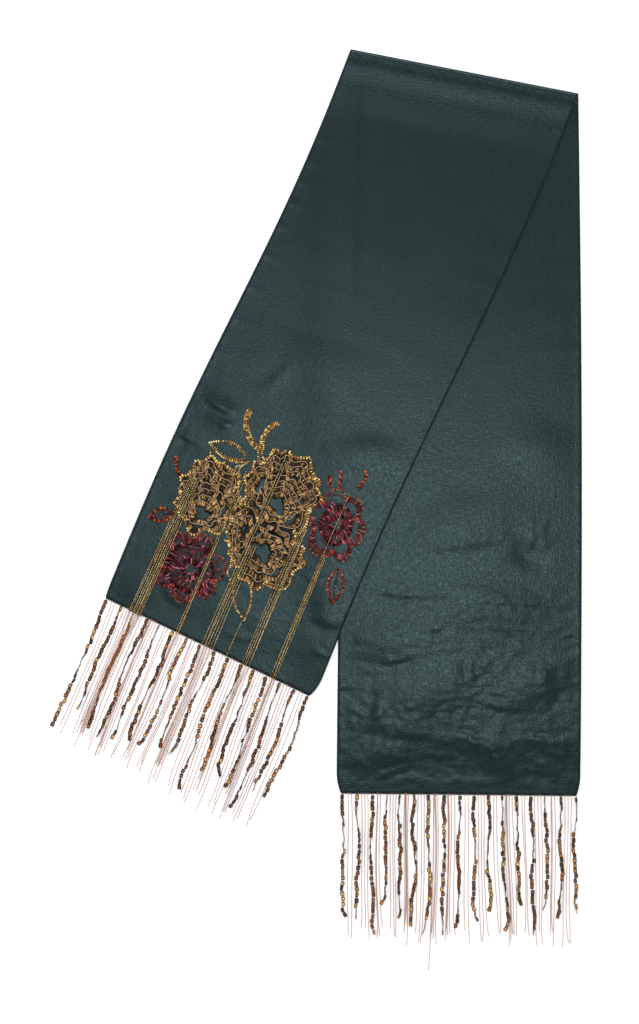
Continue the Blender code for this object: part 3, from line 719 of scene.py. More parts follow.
# Fringes, repeated from the part's source so that each string lies where its solid is. Bundles say how many
# chains hang from one root, by the number of the sequin string before them.
FRINGE_COLUMNS = ("leg", "strings", "seed", "lean_left", "lean_right", "bundles")
FRINGES = (
    (UNDER, 17, 11, 0.6, -1.2, {2: 2, 4: 4, 6: 4, 7: 3, 11: 3, 14: 2}),
    (OVER, 16, 23, 23.4, 20.6, {3: 3, 6: 2, 12: 2}),
)
CHAINS_BETWEEN = (2, 3)
STRING_LENGTH = (116, 152)
CHAIN_LENGTH = (146, 166)
BUNDLE_LENGTH = 162
LONG_CHAIN = 193
LONG_CHAIN_AFTER = 6
HEADING_WIDTH = 2.2
STRING_ROOT = 2.4
BALL_RADIUS = 0.60
BALL_PITCH = 2.25
SEQUIN_PITCH = 5.5
SEQUIN_WIDTH = 4.3
SEQUIN_DEPTH = 0.9
# Height of the hem that the strands start from
HEM_TOP = SHELL * 0.75

SEQUIN_TINTS = np.array(
    (
        (0.082, 0.034, 0.013),
        (0.205, 0.084, 0.028),
        (0.060, 0.028, 0.012),
        (0.26, 0.126, 0.040),
        (0.125, 0.041, 0.018),
        (0.072, 0.032, 0.013),
    )
)
CORE_TINT = (0.06, 0.035, 0.025)
HEADING_TINT = (0.012, 0.026, 0.027)
CHAIN_PALE = np.array((0.42, 0.140, 0.055))
CHAIN_BROWN = np.array((0.44, 0.150, 0.054))
CHAIN_TAIL = np.array((0.46, 0.165, 0.055))
CHAIN_GOLD = np.array((0.95, 0.68, 0.33))
# Near-black tube under the balls on the cloth: painted shadow between and beneath them
CHAIN_SHADE = (0.020, 0.013, 0.005)


def add_ball_chain(heap, path, tint, rng, radius=BALL_RADIUS, pitch=BALL_PITCH):
    """Small balls at even steps on a hair-thin wire."""
    beads = resample(path, pitch * rng.uniform(0.97, 1.03))
    shades = tint * rng.uniform(0.45, 1.45, (len(beads), 1))
    heap.stamp(BALL, beads, scaled(frames_along(tangents_of(beads)), radius, radius, radius), shades)
    add_tube(heap, resample(path, 9), 0.10, tint, 3)


def add_sequins(heap, path, falls_to, phase, pace, k, rng):
    """Sequins threaded along a string, each turned a little further round it than the last."""
    spots = resample(path, SEQUIN_PITCH * rng.uniform(0.93, 1.08))
    at = np.linspace(-3, falls_to, len(spots))[1:]
    spots = spots[1:]
    count = len(spots)
    twist = phase + at / pace + rng.normal(0, 0.16, count)
    tilt = 1.4 * np.sin(twist) ** 7 + rng.normal(0, 0.16, count)
    width = SEQUIN_WIDTH * (1 - 0.25 * np.abs(np.sin(tilt))) * rng.uniform(0.90, 1.08, count)
    height = 0.50 + 0.5 * width * np.abs(np.sin(tilt)) + rng.uniform(0, 0.25, count)
    spots[:, 2] = np.maximum(height, HEM_TOP * np.exp(-np.maximum(at, 0) / 6))
    spots[:, :2] += rng.normal(0, 0.32, (count, 2))
    axes = frames_along(tangents_of(spots) + rng.normal(0, 0.10, spots.shape) * (1, 1, 0), tilt)
    slow = lattice_noise(at / 34 + 7.3 * k, 0.5, 31) + 0.5
    pick = np.clip(slow * 0.9 + rng.uniform(0, 0.22, count), 0, 0.999) * len(SEQUIN_TINTS)
    tints = SEQUIN_TINTS[(pick.astype(int) + k) % len(SEQUIN_TINTS)] * rng.uniform(0.7, 1.35, (count, 1))
    longish = SEQUIN_PITCH * rng.uniform(0.84, 1.08, count)
    heap.stamp(SEQUIN, spots, scaled(axes, width, longish, SEQUIN_DEPTH), tints)


def build_fringe(fringe):
    order, rng = random.Random(fringe.seed), np.random.default_rng(fringe.seed)
    left, right = fringe.leg.plan((0.0, 1.0), 1.0)
    side, length = unit(right - left), float(np.linalg.norm(right - left))
    down_square = np.array([side[1], -side[0]])
    start = left + down_square * GAP
    foot = start + down_square * HEADING_WIDTH
    edge = STRING_ROOT / 2 + 0.4
    pitch = (length - 2 * edge) / (fringe.strings - 1)
    sequins, threads, chains, heading = Heap(), Heap(), Heap(), Heap()

    def hang(places, falls, heights):
        """3-D points at places along the hem and distances down from it, on strands that fan out."""
        share = places / length
        lean = np.radians(fringe.lean_left * (1 - share) + fringe.lean_right * share)
        drift = 3.2 * (falls / 150) * np.sin(places / 24 + 0.8) + 0.9 * np.sin(falls / 30 + places / 19)
        plan = foot + side * (places + drift)[:, None]
        plan += np.stack([-np.sin(lean), -np.cos(lean)], -1) * falls[:, None]
        return np.column_stack([plan, np.broadcast_to(heights, falls.shape)])

    for k in range(fringe.strings):
        root = edge + k * pitch
        string_length = order.uniform(*STRING_LENGTH)
        phase, pace = order.uniform(0, math.tau), order.uniform(26, 40)
        curl, curl_side = rng.uniform(6, 14), rng.choice([-1, 1]) * rng.uniform(0.5, 3.5)
        sway, sway_phase = rng.uniform(0.5, 1.5), rng.uniform(0, math.tau)
        falls = np.arange(-3, string_length, 1.0)
        fallen = np.maximum(falls, 0)
        own = 0.7 * np.sin(falls / 13 + phase)
        own += sway * np.sin(falls / 17 + sway_phase) * np.minimum(1, fallen / 25)
        own += 2.0 * lattice_noise(falls / 11, k * 3.7, 35) * np.minimum(1, fallen / 20)
        own += curl_side * np.maximum(0, 1 - (string_length - falls) / curl) ** 2
        path = hang(root + own, falls, 0)
        add_sequins(sequins, path, string_length, phase, pace, k, rng)
        core = resample(path, 5)
        core[:, 2] = 0.45 + HEM_TOP * np.exp(-np.linspace(0, string_length, len(core)) / 9)
        add_tube(threads, core, 0.32, CORE_TINT)
        if k == fringe.strings - 1:
            break
        between = CHAINS_BETWEEN[k % len(CHAINS_BETWEEN)]
        for c in range(between):
            place = root + pitch * (0.5 + 0.21 * (c - (between - 1) / 2))
            longest = fringe.leg is UNDER and k == LONG_CHAIN_AFTER and c == 0
            chain_length = LONG_CHAIN if longest else order.uniform(*CHAIN_LENGTH)
            own = order.uniform(-0.5, 0.5)
            together = fringe.bundles.get(k, 1) if c == 0 else 1
            for member in range(together):
                beside = (member - (together - 1) / 2) * 1.15
                own_length = min(chain_length, BUNDLE_LENGTH) if member else chain_length
                own_length -= member * rng.uniform(1, 7)
                curve, bend = rng.uniform(-1.2, 1.2), rng.uniform(-3.5, 3.5)
                falls = np.arange(-2, own_length, 1.5)
                share = np.maximum(0, falls / own_length)
                off = own * share + beside * np.minimum(1, 0.55 + 2 * share) + curve * np.sin(math.pi * share)
                off += bend * np.maximum(0, share - 0.86) ** 2 * 25
                height = BALL_RADIUS + 0.1 + HEM_TOP * np.exp(-np.maximum(0, falls) / 7) + 0.25 * (member % 2)
                tint = CHAIN_BROWN if together > 2 else CHAIN_PALE
                path = hang(place + off, falls, height)
                add_ball_chain(chains, path, tint * rng.uniform(0.8, 1.1), rng)

    # The heading: a narrow bound edge that the strings are sewn to
    line = np.linspace(0.6, length - 0.6, 90)[:, None]
    middle = start + down_square * HEADING_WIDTH * 0.35
    add_tube(heading, np.insert(middle + side * line, 2, 0.62, 1), 0.55, HEADING_TINT, 6)
    return sequins, threads, chains, heading


FRINGE_PIECES = (
    ("sequins", SEQUIN_FOIL, "sequins"),
    ("string_cores", THREAD, "sequins"),
    ("fringe_chains", CHAIN, "chain"),
    ("heading", THREAD, "satin"),
)
for fringe in rows_of(FRINGES, FRINGE_COLUMNS):
    pieces = []
    for heap, (name, material, slot) in zip(build_fringe(fringe), FRINGE_PIECES):
        pieces.append(heap.piece(f"{name}_{fringe.leg.name}", material, slot))
    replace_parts(pieces[0], f"fringe_{fringe.leg.name}")

# Bouquet, on the over leg: across from its middle and up from its hem

# Among the gold tints the lightest is a painted highlight, and the near-black stitch tint is painted shade in
# the gaps
GOLD_TINTS = np.array(((0.31, 0.17, 0.06), (0.14, 0.072, 0.026), (0.54, 0.33, 0.135), (0.05, 0.026, 0.011)))
GOLD_RIM = np.array(((0.60, 0.32, 0.080), (0.34, 0.150, 0.042), (0.95, 0.62, 0.25), (0.20, 0.105, 0.034)))
# The pink tint among the reds is a painted highlight on the bugles and beads
RED_TINTS = np.array(
    (
        (0.085, 0.004, 0.008),
        (0.16, 0.010, 0.020),
        (0.018, 0.001, 0.002),
        (0.050, 0.003, 0.005),
        (0.36, 0.085, 0.10),
    )
)
RED_RIM = np.array(((0.18, 0.018, 0.011), (0.07, 0.005, 0.004), (0.36, 0.085, 0.034)))
GREY_THREAD = np.array((0.46, 0.34, 0.22))
RED_THREAD = RED_TINTS[1] * 0.8
# Backing pads under the stitches and bugles: their near-black tint is painted shadow in the gaps between them
GOLD_SHADOW_PAD = (0.007, 0.005, 0.003)
RED_SHADOW_PAD = (0.006, 0.003, 0.003)
BEADS = {"gold": (BEAD_GOLD, "gold_beads"), "red": (BEAD_RED, "red_beads")}
RIMS = {"gold": GOLD_RIM, "red": RED_RIM}


def sew(heap, name, material, slot):
    """Makes a piece of the bouquet."""
    piece = heap.piece(name, material, slot)
    return piece


def panel_to_plan(places):
    places = np.asarray(places, float)
    return OVER.hem_middle + places[..., :1] * OVER.across - places[..., 1:] * OVER.down


def panel_points(places, lift):
    """3-D points of places on the panel, at a lift above the cloth."""
    plan = panel_to_plan(places)
    return np.concatenate([plan, (over_top(plan) + lift)[..., None]], -1)


# Rosettes of petals. Wide and high are the distances from the middle to the outermost petals; the hollow is
# the open heart that the petals grow from, placed from the rosette's middle.
ROSETTE_COLUMNS = ("solid", "middle", "wide", "high", "turn", "hollow", "hollow_wide", "hollow_high", "tiers")
ROSETTES = rows_of(
    (
        ("gold_large", (4, 187), 44, 49, 8, (0, -15), 12, 5, (7, 5)),
        ("gold_large", (17, 118), 42, 40, 0, (-7, 1), 12.5, 7, (6, 5)),
        ("gold_large", (-19, 131), 17, 33, 14, (3, 2), 2, 4, (5,)),
        ("gold_small", (-68, 151), 36, 45, 8, (1, -22), 9, 4.5, (7, 5)),
        ("red_left", (-56, 71), 41, 40, -12, (3, -2), 5.5, 5, (7,)),
        ("red_right", (73, 178), 33, 42, 14, (0, 2), 5, 7, (6,)),
    ),
    ROSETTE_COLUMNS,
)


def directions(angles):
    return np.stack([np.cos(angles), np.sin(angles)], -1)


def ellipse_reach(wide, high, angles):
    return wide * high / np.hypot(high * np.cos(angles), wide * np.sin(angles))


def rosette_reach(rosette, angles):
    """Distance from a rosette's middle to its outermost petals at those angles."""
    return ellipse_reach(rosette.wide, rosette.high, angles - math.radians(rosette.turn))


def ground_share(rosette, places):
    away = places - np.array(rosette.middle)
    return np.linalg.norm(away, axis=-1) / rosette_reach(rosette, np.arctan2(away[..., 1], away[..., 0]))


def own_ground(rosette, places):
    """True where no other rosette is much nearer, in shares of their reach."""
    others = [ground_share(r, places) for r in ROSETTES if r is not rosette]
    return ground_share(rosette, places) <= np.min(others, axis=0) + 0.03


class Petal:
    """A ruffled petal of a rosette, from the rim of the hollow out to its own rim."""

    def __init__(self, rosette, size, angle, spread, ruffles, phase, droop=0.0, wave=0.05):
        self.rosette, self.size, self.angle, self.spread = rosette, size, angle, spread
        self.ruffles, self.phase, self.droop, self.wave = ruffles, phase, droop, wave

    def place(self, s, r):
        """Places: s is -1 to 1 across the petal, r 0 at its foot and 1 at its rim."""
        row, s, r = self.rosette, np.asarray(s, float), np.asarray(r, float)[..., None]
        angles = self.angle + s * self.spread
        hollow = np.array(row.middle) + row.hollow
        inner = ellipse_reach(row.hollow_wide, row.hollow_high, angles + math.radians(20))
        inner = inner * (0.80 + 0.26 * np.sin(3 * angles + row.middle[0]) + 0.16 * np.sin(5 * angles))
        foot = hollow + inner[..., None] * directions(angles)
        middle = hollow * (1 - self.size) + np.array(row.middle) * self.size
        rim = 1 - self.droop * np.abs(s) ** 2.6 + self.wave * np.cos(self.ruffles * math.pi * s + self.phase)
        reach = rosette_reach(row, angles) * self.size * rim
        return foot * (1 - r) + (middle + reach[..., None] * directions(angles)) * r

    def length(self):
        return float(np.linalg.norm(self.place(0.0, 1.0) - self.place(0.0, 0.0)))

    def line(self, r, step, reach=1.0, wave=0.0):
        """Places on a line across the petal at r, at even steps, and s at each of them."""
        s = np.linspace(-reach, reach, 60)
        across = np.minimum(r * (1 + wave * np.sin(5.5 * s + self.phase)), 1)
        path = self.place(s, across)
        lengths = lengths_along(path)
        at = np.linspace(0, lengths[-1], max(2, int(lengths[-1] / step)))
        return np.stack([np.interp(at, lengths, path[:, k]) for k in range(2)], 1), np.interp(at, lengths, s)


def petals_of(rosette, sizes, rng, droop, wave):
    """Petals tier by tier, the outermost first."""
    found = []
    for size, count in zip(sizes, rosette.tiers):
        offset = rng.uniform(0, math.tau)
        widths = rng.uniform(0.75, 1.25, count)
        edges = offset + np.concatenate([[0], np.cumsum(widths)]) * math.tau / widths.sum()
        petals = []
        for low, high in zip(edges, edges[1:]):
            own = size * rng.uniform(0.94, 1.04) if found else size
            shape = (high + low) / 2, (high - low) / 2 * 1.10, rng.uniform(1.4, 2.6), rng.uniform(0, math.tau)
            petals.append(Petal(rosette, own, *shape, droop, wave))
        found.append(petals)
    return found


def add_slab(heap, places, lifts, tint):
    """A low closed pad over a grid of places, from the cloth up to its lifts."""
    top, bottom = panel_points(places, lifts).reshape(-1, 3), panel_points(places, 0.08).reshape(-1, 3)
    rows, columns = places.shape[:2]
    quads, rim = grid_faces(rows, columns)
    after, base = np.roll(rim, -1), rows * columns
    sides = np.stack([after, rim, rim + base, after + base], -1)
    faces = np.concatenate([quads, quads[:, ::-1] + base, sides])
    flip = np.cross(top[1] - top[0], top[columns] - top[0])[2] < 0
    heap.add(np.concatenate([top, bottom]), [faces[:, ::-1] if flip else faces], tint)


def mixed(rng, tints, count, darkest, lightest):
    """A tint for each of a number of copies, picked at random and made darker or lighter."""
    return tints[rng.integers(0, len(tints), count)] * rng.uniform(darkest, lightest, (count, 1))


def add_strokes(heap, rng, starts, ends, start_lift, end_lift, radius, tints, template, spread):
    """Stitches or bugles from starts to ends."""
    first, last = panel_points(starts, start_lift), panel_points(ends, end_lift)
    long = np.linalg.norm(last - first, axis=1)
    colour = mixed(rng, tints, len(long), 1 - spread, 1 + spread)
    heap.stamp(template, (first + last) / 2, scaled(frames_along(last - first), radius, long, radius), colour)


def add_thread(heap, places, lift, tint):
    """A couched thread along places."""
    if len(places) > 2:
        radius = 0.36 * (1 + 0.2 * np.sin(np.arange(len(places)) * 2.4))
        add_tube(heap, panel_points(places, lift), radius, tint)


def add_beads(heap, rng, places, tints, radius, lift=1.0):
    """Seed beads threaded along places."""
    if len(places) < 2:
        return
    points = panel_points(places, lift)
    size = radius * rng.uniform(0.85, 1.12, len(points))
    colour = mixed(rng, tints, len(points), 0.4, 1.5)
    heap.stamp(SEED, points, scaled(frames_along(tangents_of(points)), size, size, size), colour)


def runs(places, keep):
    """The places in runs of those to keep."""
    change = np.flatnonzero(np.diff(np.concatenate([[False], keep, [False]]).astype(int)))
    return [places[begin:end] for begin, end in zip(change[::2], change[1::2])]


TIER_LIFT = 0.42
ROW_PITCH = 6.4


def build_gold(solid, seed):
    rng = np.random.default_rng(seed)
    stitches, threads, beads = Heap(), Heap(), Heap()
    for rosette in [r for r in ROSETTES if r.solid == solid]:
        tiers = petals_of(rosette, (0.97, 0.57), rng, 0.16, 0.06)
        others = [r for r in ROSETTES if r is not rosette and "gold" in r.solid]
        for tier, petals in enumerate(tiers):
            # Petals with another tier above them keep to their outer part
            depth = 0.47 if tier + 1 < len(tiers) else 0.90
            for order, petal in enumerate(petals):
                lift = 0.55 + TIER_LIFT * tier + 0.22 * (order % 2)
                s, r = np.meshgrid(np.linspace(-1, 1, 13), np.linspace(1 - depth, 0.985, 5), indexing="ij")
                curl = 0.135 * np.sin(petal.ruffles * math.pi * s) * r
                # The pad under the stitches is near-black: painted shadow between them
                add_slab(stitches, petal.place(s, r), lift - 0.30 + 0.35 * (r - 0.6) + curl, GOLD_SHADOW_PAD)
                rows = max(1, int(round(depth * petal.length() / ROW_PITCH)))
                for row in range(rows):
                    outer = 0.985 - row * depth / rows
                    inner = outer - depth / rows * rng.uniform(0.62, 0.80)
                    places, turn = petal.line(outer, 1.9, 0.97)
                    keep = own_ground(rosette, places) & (rng.uniform(0, 1, len(turn)) < 0.96)
                    if not keep.any():
                        continue
                    ends = petal.place(turn + rng.normal(0, 0.02, len(turn)), inner)
                    high = (lift + 0.35 + 0.15 * np.sin(petal.ruffles * math.pi * turn))[keep]
                    strokes = places[keep], ends[keep], high, high - 0.45
                    add_strokes(stitches, rng, *strokes, 0.72, GOLD_TINTS, STITCH, 0.5)
                    line = petal.line(min(1.0, outer + 0.02), 1.0, 0.96, 0.015)[0]
                    for run in runs(line, own_ground(rosette, line)):
                        add_thread(threads, run, lift + 0.95, GREY_THREAD)
        for petal in tiers[0]:
            for share, lift, shade in ((1.03, 1.05, 1.0), (0.965, 1.45, 0.75)):
                line = petal.line(share, 2.9)[0]
                for run in runs(line, np.all([ground_share(r, line) > 0.93 for r in others], axis=0)):
                    add_beads(beads, rng, run, GOLD_RIM * shade, 1.42, lift)
    return stitches, threads, beads


# The red star's rings of bugles: size, length, number and lift
STAR_RINGS = (
    (0.70, 4.2, 60, 0.9),
    (0.59, 4.0, 52, 1.05),
    (0.48, 3.8, 44, 1.2),
    (0.37, 3.6, 34, 1.35),
    (0.27, 3.4, 24, 1.5),
)


def build_red(solid, seed):
    rng = np.random.default_rng(seed)
    bugles, threads, beads = Heap(), Heap(), Heap()
    rosette = next(r for r in ROSETTES if r.solid == solid)
    pad_size, ring_scale = (0.70, 1.12) if solid == "red_left" else (0.56, 0.86)
    star = Petal(rosette, pad_size, 0.0, math.pi, 5, 0.4)
    s, r = np.meshgrid(np.linspace(-1, 1, 49), np.linspace(0.12, 0.96, 5), indexing="ij")
    # A near-black pad under the bugles: painted shadow between them
    add_slab(bugles, star.place(s, r), 0.45 + 0.3 * (1 - r), RED_SHADOW_PAD)
    for size, long, count, lift in STAR_RINGS:
        petal = Petal(rosette, size * ring_scale, 0.0, math.pi, 5, rng.uniform(0, math.tau))
        s = np.linspace(-1, 1, count, endpoint=False) + rng.normal(0, 0.5 / count, count)
        far = np.minimum(1, 1 + rng.normal(-0.04, 0.06, count))
        starts = petal.place(s, far)
        near = np.maximum(far - long * rng.uniform(0.8, 1.15, count) / petal.length(), 0.02)
        ends = petal.place(s + rng.normal(0, 0.02, count), near)
        keep = own_ground(rosette, starts)
        add_strokes(bugles, rng, starts[keep], ends[keep], lift + 0.3, lift, 0.78, RED_TINTS, BUGLE, 0.6)
    heart = Petal(rosette, 0.12, 0.0, math.pi, 4, 0.5)
    add_beads(beads, rng, heart.line(1.0, 2.2)[0], RED_TINTS, 0.95, 1.3)
    # The outer petals: scallops of beads in two rows, with short bugles inside most of them
    for k, petal in enumerate(petals_of(rosette, (0.98,), rng, 0.30, 0.025)[0]):
        for share, lift in ((1.0, 1.0), (0.945, 1.35)):
            line = petal.line(share, 2.4)[0]
            for run in runs(line, own_ground(rosette, line)):
                add_beads(beads, rng, run, RED_RIM, 1.08, lift)
        if k % 4 != 3:
            places, turn = petal.line(0.93, 1.9, 0.9)
            keep = own_ground(rosette, places)
            ends = petal.place(turn, 0.93 - rng.uniform(4.5, 7.5, len(turn)) / petal.length())
            add_strokes(bugles, rng, places[keep], ends[keep], 1.1, 0.8, 0.64, RED_TINTS, BUGLE, 0.5)
        line = petal.line(0.78, 1.0, 0.7, 0.05)[0]
        for run in runs(line, own_ground(rosette, line)):
            add_thread(threads, run, 0.5, RED_THREAD)
    return bugles, threads, beads


for seed, name in enumerate(("gold_large", "gold_small", "red_left", "red_right"), 5):
    gold = "gold" in name
    rim_material, slot = BEADS["gold" if gold else "red"]
    stitches, threads, rim_beads = (build_gold if gold else build_red)(name, seed)
    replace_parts(sew(stitches, f"{name}_stitches", THREAD if gold else BEAD_RED, slot), f"blossom_{name}")
    sew(threads, f"{name}_threads", THREAD, slot)
    sew(rim_beads, f"{name}_rim_beads", rim_material, slot)

# Lines of gold beads between the flowers: radius of the beads, and places
BEAD_LINES = (
    (1.25, ((-42, 204), (-52, 198), (-62, 196), (-70, 189), (-80, 191), (-87, 197))),
    (1.15, ((-43, 203), (-47, 199), (-49, 190), (-47, 181), (-41, 170), (-33, 161), (-30, 151))),
    (1.0, ((-46, 200), (-53, 193), (-53, 182), (-48, 171), (-38, 160), (-35, 149), (-37, 138))),
    (1.25, ((-40, 223), (-38, 217), (-34, 211), (-30, 206))),
    (1.25, ((-37, 226), (-34, 219), (-30, 213), (-26, 209))),
    (1.25, ((-32, 114), (-22, 109), (-16, 97), (-15, 83), (-6, 71))),
)


def square_to(path):
    """Directions square to a path, to its left."""
    return tangents_of(path) @ np.array([[0.0, 1.0], [-1.0, 0.0]])


def build_bead_lines(rng):
    heap = Heap()
    for radius, corners in BEAD_LINES:
        line = resample(corners, 1.0)
        for _ in range(2):
            line[1:-1] = (line[:-2] + line[1:-1] * 2 + line[2:]) / 4
        wave = 0.7 * np.sin(np.arange(len(line)) / 2.3)[:, None] * square_to(line)
        add_beads(heap, rng, resample(line + wave, 2.2), GOLD_RIM, radius, 1.1)
    return heap


sew(build_bead_lines(np.random.default_rng(40)), "gold_bead_lines", *BEADS["gold"])

# Leaves and stems, repeated from the part's source
LEAF_COLUMNS = ("name", "foot", "tip", "half_width", "colour")
LEAVES = (
    ("leaf_gold_upper", (-48, 206), (-91, 205), 9.5, "gold"),
    ("leaf_gold_lower", (9, 72), (24, 44), 8.0, "gold"),
    ("leaf_red_left", (-97, 118), (-119, 103), 7.5, "red"),
    ("leaf_red_right", (95, 135), (104, 97), 9.0, "red"),
)
# The lower gold leaf stays open towards the flower: its two sides
OPEN_LEAF = {-1: ((-4, 71), (3, 58), (11, 49), (23, 42)), 1: ((15, 78), (20, 69), (23, 58), (23, 42))}
STEM_COLUMNS = ("name", "foot", "tip", "bow", "wide", "colour")
STEMS = (
    ("stem_gold_left", (-43, 222), (-65, 256), 7.0, 6.5, "gold"),
    ("stem_gold_right", (-37, 225), (-31, 255), 5.0, 5.5, "gold"),
    ("sprig_red_far_left", (-107, 159), (-118, 176), 1.5, 6.0, "red"),
    ("sprig_red_top_left", (48, 215), (44, 225), -1.0, 4.0, "red"),
    ("sprig_red_top_middle", (58, 220), (53, 234), -1.5, 4.0, "red"),
    ("sprig_red_top_right", (79, 226), (79, 246), -2.5, 6.0, "red"),
)


def between(row, first, last, count):
    """Points on the straight line from foot to tip, their shares of it, and the direction to its left."""
    share = np.linspace(first, last, count)[:, None]
    ahead = np.array(row.tip, float) - row.foot
    return row.foot + share * ahead, share, unit((-ahead[1], ahead[0]))


def build_leaf(leaf, rng):
    """A pointed outline of beads with a second row inside it, and a rib on the red ones."""
    heap, tints = Heap(), RIMS[leaf.colour]
    middle, share, aside = between(leaf, 0, 1, 50)
    width = np.sin(math.pi * share**0.85) ** 0.9 * leaf.half_width
    for sign in (-1, 1):
        if leaf.name == "leaf_gold_lower":
            add_beads(heap, rng, resample(resample(OPEN_LEAF[sign], 0.8), 2.5), tints, 1.38)
            continue
        line = middle + sign * width * aside
        add_beads(heap, rng, resample(line, 2.5), tints, 1.38)
        add_beads(heap, rng, resample(line[10:46] - sign * 2.3 * aside, 2.3), tints * 0.6, 1.0, 0.8)
    if leaf.colour == "red":
        add_beads(heap, rng, resample(between(leaf, 0.1, 0.85, 40)[0], 2.1), RED_TINTS, 1.0)
    return heap


def build_stem(stem, rng):
    """Close rows of beads, as a thick rope."""
    heap, gold, half = Heap(), stem.colour == "gold", stem.wide / 2 - 1.0
    line, share, aside = between(stem, -0.10 if gold else 0, 1, 60)
    line = line + stem.bow * 4 * share * (1 - share) * aside
    for offset, lift in ((-half, 1.0), (half, 1.0), (0.0, 1.8)) if gold else ((-0.9, 1.0), (0.9, 1.0)):
        tints = RIMS[stem.colour] * (1.0 if offset else 0.7)
        add_beads(heap, rng, resample(line + square_to(line) * offset, 2.1), tints, 1.25, lift)
    return heap


for table, columns, build, seed in (
    (LEAVES, LEAF_COLUMNS, build_leaf, 70),
    (STEMS, STEM_COLUMNS, build_stem, 90),
):
    for k, row in enumerate(rows_of(table, columns)):
        heap = build(row, np.random.default_rng(seed + k))
        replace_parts(sew(heap, f"{row.name}_beads", *BEADS[row.colour]), row.name)

# Bunches of chain, repeated from the part's source. Climbers start farther up, among the flowers.
BUNCH_COLUMNS = ("name", "across", "start", "past", "chains", "drift", "pitch", "climbers", "climb")
BUNCHES = (
    ("chains_far_left", -90, 162, 148, 8, -2, 2.2, 0, 0),
    ("chains_left", -40, 112, 154, 3, 4, 2.6, 2, 80),
    ("chains_middle_left", -3, 120, 150, 6, 3, 3.3, 2, 104),
    ("chains_single", 21, 41, 150, 1, 5, 2.0, 0, 0),
    ("chains_middle_right", 42, 160, 152, 5, 7, 2.4, 3, 26),
    ("chains_right", 75, 140, 148, 4, 8, 2.6, 1, 74),
)


def over_beads(places):
    """Height that the beadwork stands above the cloth at places on the panel."""
    shares = np.min([ground_share(rosette, places) for rosette in ROSETTES], axis=0)
    return 1.9 * smooth_step((1.08 - shares) / 0.1) + 1.0 * smooth_step((0.9 - shares) / 0.4)


def build_bunch(bunch, rng):
    order = random.Random(bunch.chains + bunch.start)
    heap, whole = Heap(), bunch.start + bunch.past
    for c in range(bunch.chains):
        length = whole - order.uniform(0, 16)
        # The last chain of a bunch lies over another
        lanes = max(1, bunch.chains - 1)
        lane = c if c < lanes else rng.integers(0, lanes) + 0.25
        root = (lane + 0.5 - lanes / 2) * bunch.pitch
        climb = bunch.climb - 6 * c if c < bunch.climbers else 0
        falls = np.arange(-climb, length, 1.5)
        fallen = np.maximum(falls, 0)
        # Past the hem the chains of a bunch close up
        ease = (1 - 0.25 * np.exp(-fallen / 40)) * (1 - 0.55 * smooth_step((falls - bunch.start) / 30))
        sway = rng.uniform(-0.5, 0.5) * np.sin(falls / rng.uniform(30, 60))
        across = bunch.across + root * ease + sway + bunch.drift * (fallen / whole) ** 2
        places = np.stack([across, bunch.start - falls], 1)
        past = falls > bunch.start
        on_cloth = over_top(panel_to_plan(places)) + over_beads(places) + 0.5
        raw = np.where(past, 2.6 - 1.2 * smooth_step((falls - bunch.start - 60) / 90), on_cloth)
        smooth = np.convolve(np.pad(raw, 6, mode="edge"), np.ones(13) / 13, mode="valid")
        height = np.maximum(raw, smooth) + 0.2 * (c % 2) + (0.6 if c >= lanes else 0)
        path = np.column_stack([panel_to_plan(places), height])
        shade = rng.uniform(0.8, 1.2)
        add_ball_chain(heap, path[~past], CHAIN_GOLD * shade, rng, 0.50, 2.05)
        add_ball_chain(heap, path[past], CHAIN_TAIL * shade, rng, 0.52, 2.2)
        # A wide dark tube under the balls: painted shadow between and beneath them
        add_tube(heap, resample(path[~past] - (0, 0, 0.90), 4), 0.95, CHAIN_SHADE)
    return heap


for seed, bunch in enumerate(rows_of(BUNCHES, BUNCH_COLUMNS), 50):
    balls = build_bunch(bunch, np.random.default_rng(seed))
    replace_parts(sew(balls, f"{bunch.name}_balls", CHAIN, "chain"), bunch.name)

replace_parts(under_cloth, "under_leg")
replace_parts(over_cloth, "over_leg")

# Camera, straight above as in the photograph, floor and soft studio light. Metres from here on.

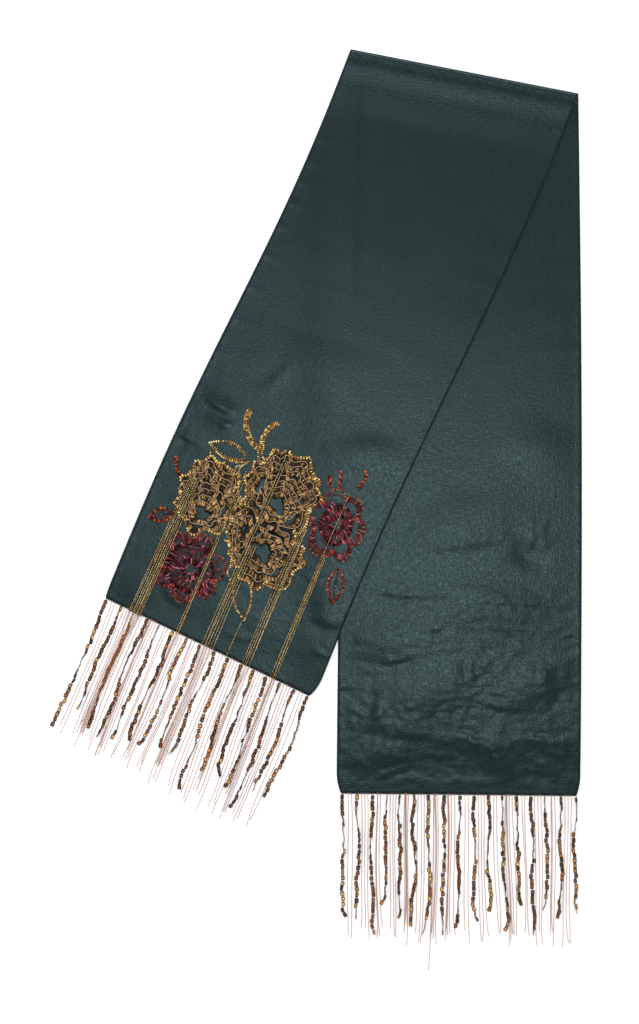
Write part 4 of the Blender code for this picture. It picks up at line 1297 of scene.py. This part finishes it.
PHOTO_SCALE = 1.1 * MM
PHOTO_HEIGHT = 1024
PHOTO_MIDDLE = (319.5, 512)
# The fold line's middle in the photograph
PHOTO_FOLD = (464.6, 71.5)
LENS = 100
SENSOR = 36

camera_data = bpy.data.cameras.new("camera")
camera_data.lens = LENS
camera_data.sensor_width = SENSOR
camera_data.clip_end = 50
camera = link("camera", camera_data)
aside, below = PHOTO_MIDDLE[0] - PHOTO_FOLD[0], PHOTO_MIDDLE[1] - PHOTO_FOLD[1]
distance = LENS / SENSOR * PHOTO_HEIGHT * PHOTO_SCALE
camera.location = (ORIGIN[0] + aside * PHOTO_SCALE, ORIGIN[1] - below * PHOTO_SCALE, distance)
bpy.context.scene.camera = camera

floor_mesh = bpy.data.meshes.new("floor")
floor_mesh.from_pydata([(-6, -6, 0), (6, -6, 0), (6, 6, 0), (-6, 6, 0)], [], [(0, 1, 2, 3)])
pale = {"Base Color": (0.92, 0.92, 0.92, 1), "Specular IOR Level": 0.0, "Roughness": 0.9}
floor_mesh.materials.append(Look("pale_floor", pale).material)
floor = link("floor", floor_mesh)


def area_light(name, place, target, size, power):
    data = bpy.data.lights.new(name, "AREA")
    data.shape = "RECTANGLE"
    data.size, data.size_y = size
    data.energy = power
    light = link(name, data)
    light.location = place
    light.rotation_mode = "QUATERNION"
    light.rotation_quaternion = (Vector(target) - Vector(place)).to_track_quat("-Z", "Y")
    light.visible_camera = False


area_light("overhead", (0.25, -0.17, 3.5), (0.12, -0.08, 0), (0.4, 0.4), 13)
area_light("overhead_left", (-0.16, 0.15, 3.5), (-0.08, 0.07, 0), (0.7, 0.6), 8.2)
area_light("key", (0.6, 2.6, 2.6), (0.0, -0.1, 0), (1.3, 1.3), 80)
area_light("side", (-3.0, 1.2, 1.7), (0, 0, 0), (1.4, 1.4), 45)

world = bpy.data.worlds.new("studio")
bpy.context.scene.world = world
world.use_nodes = True
world.node_tree.nodes["Background"].inputs["Color"].default_value = (1, 1, 1, 1)
world.node_tree.nodes["Background"].inputs["Strength"].default_value = 0.66

bpy.context.scene.view_settings.view_transform = "Standard"
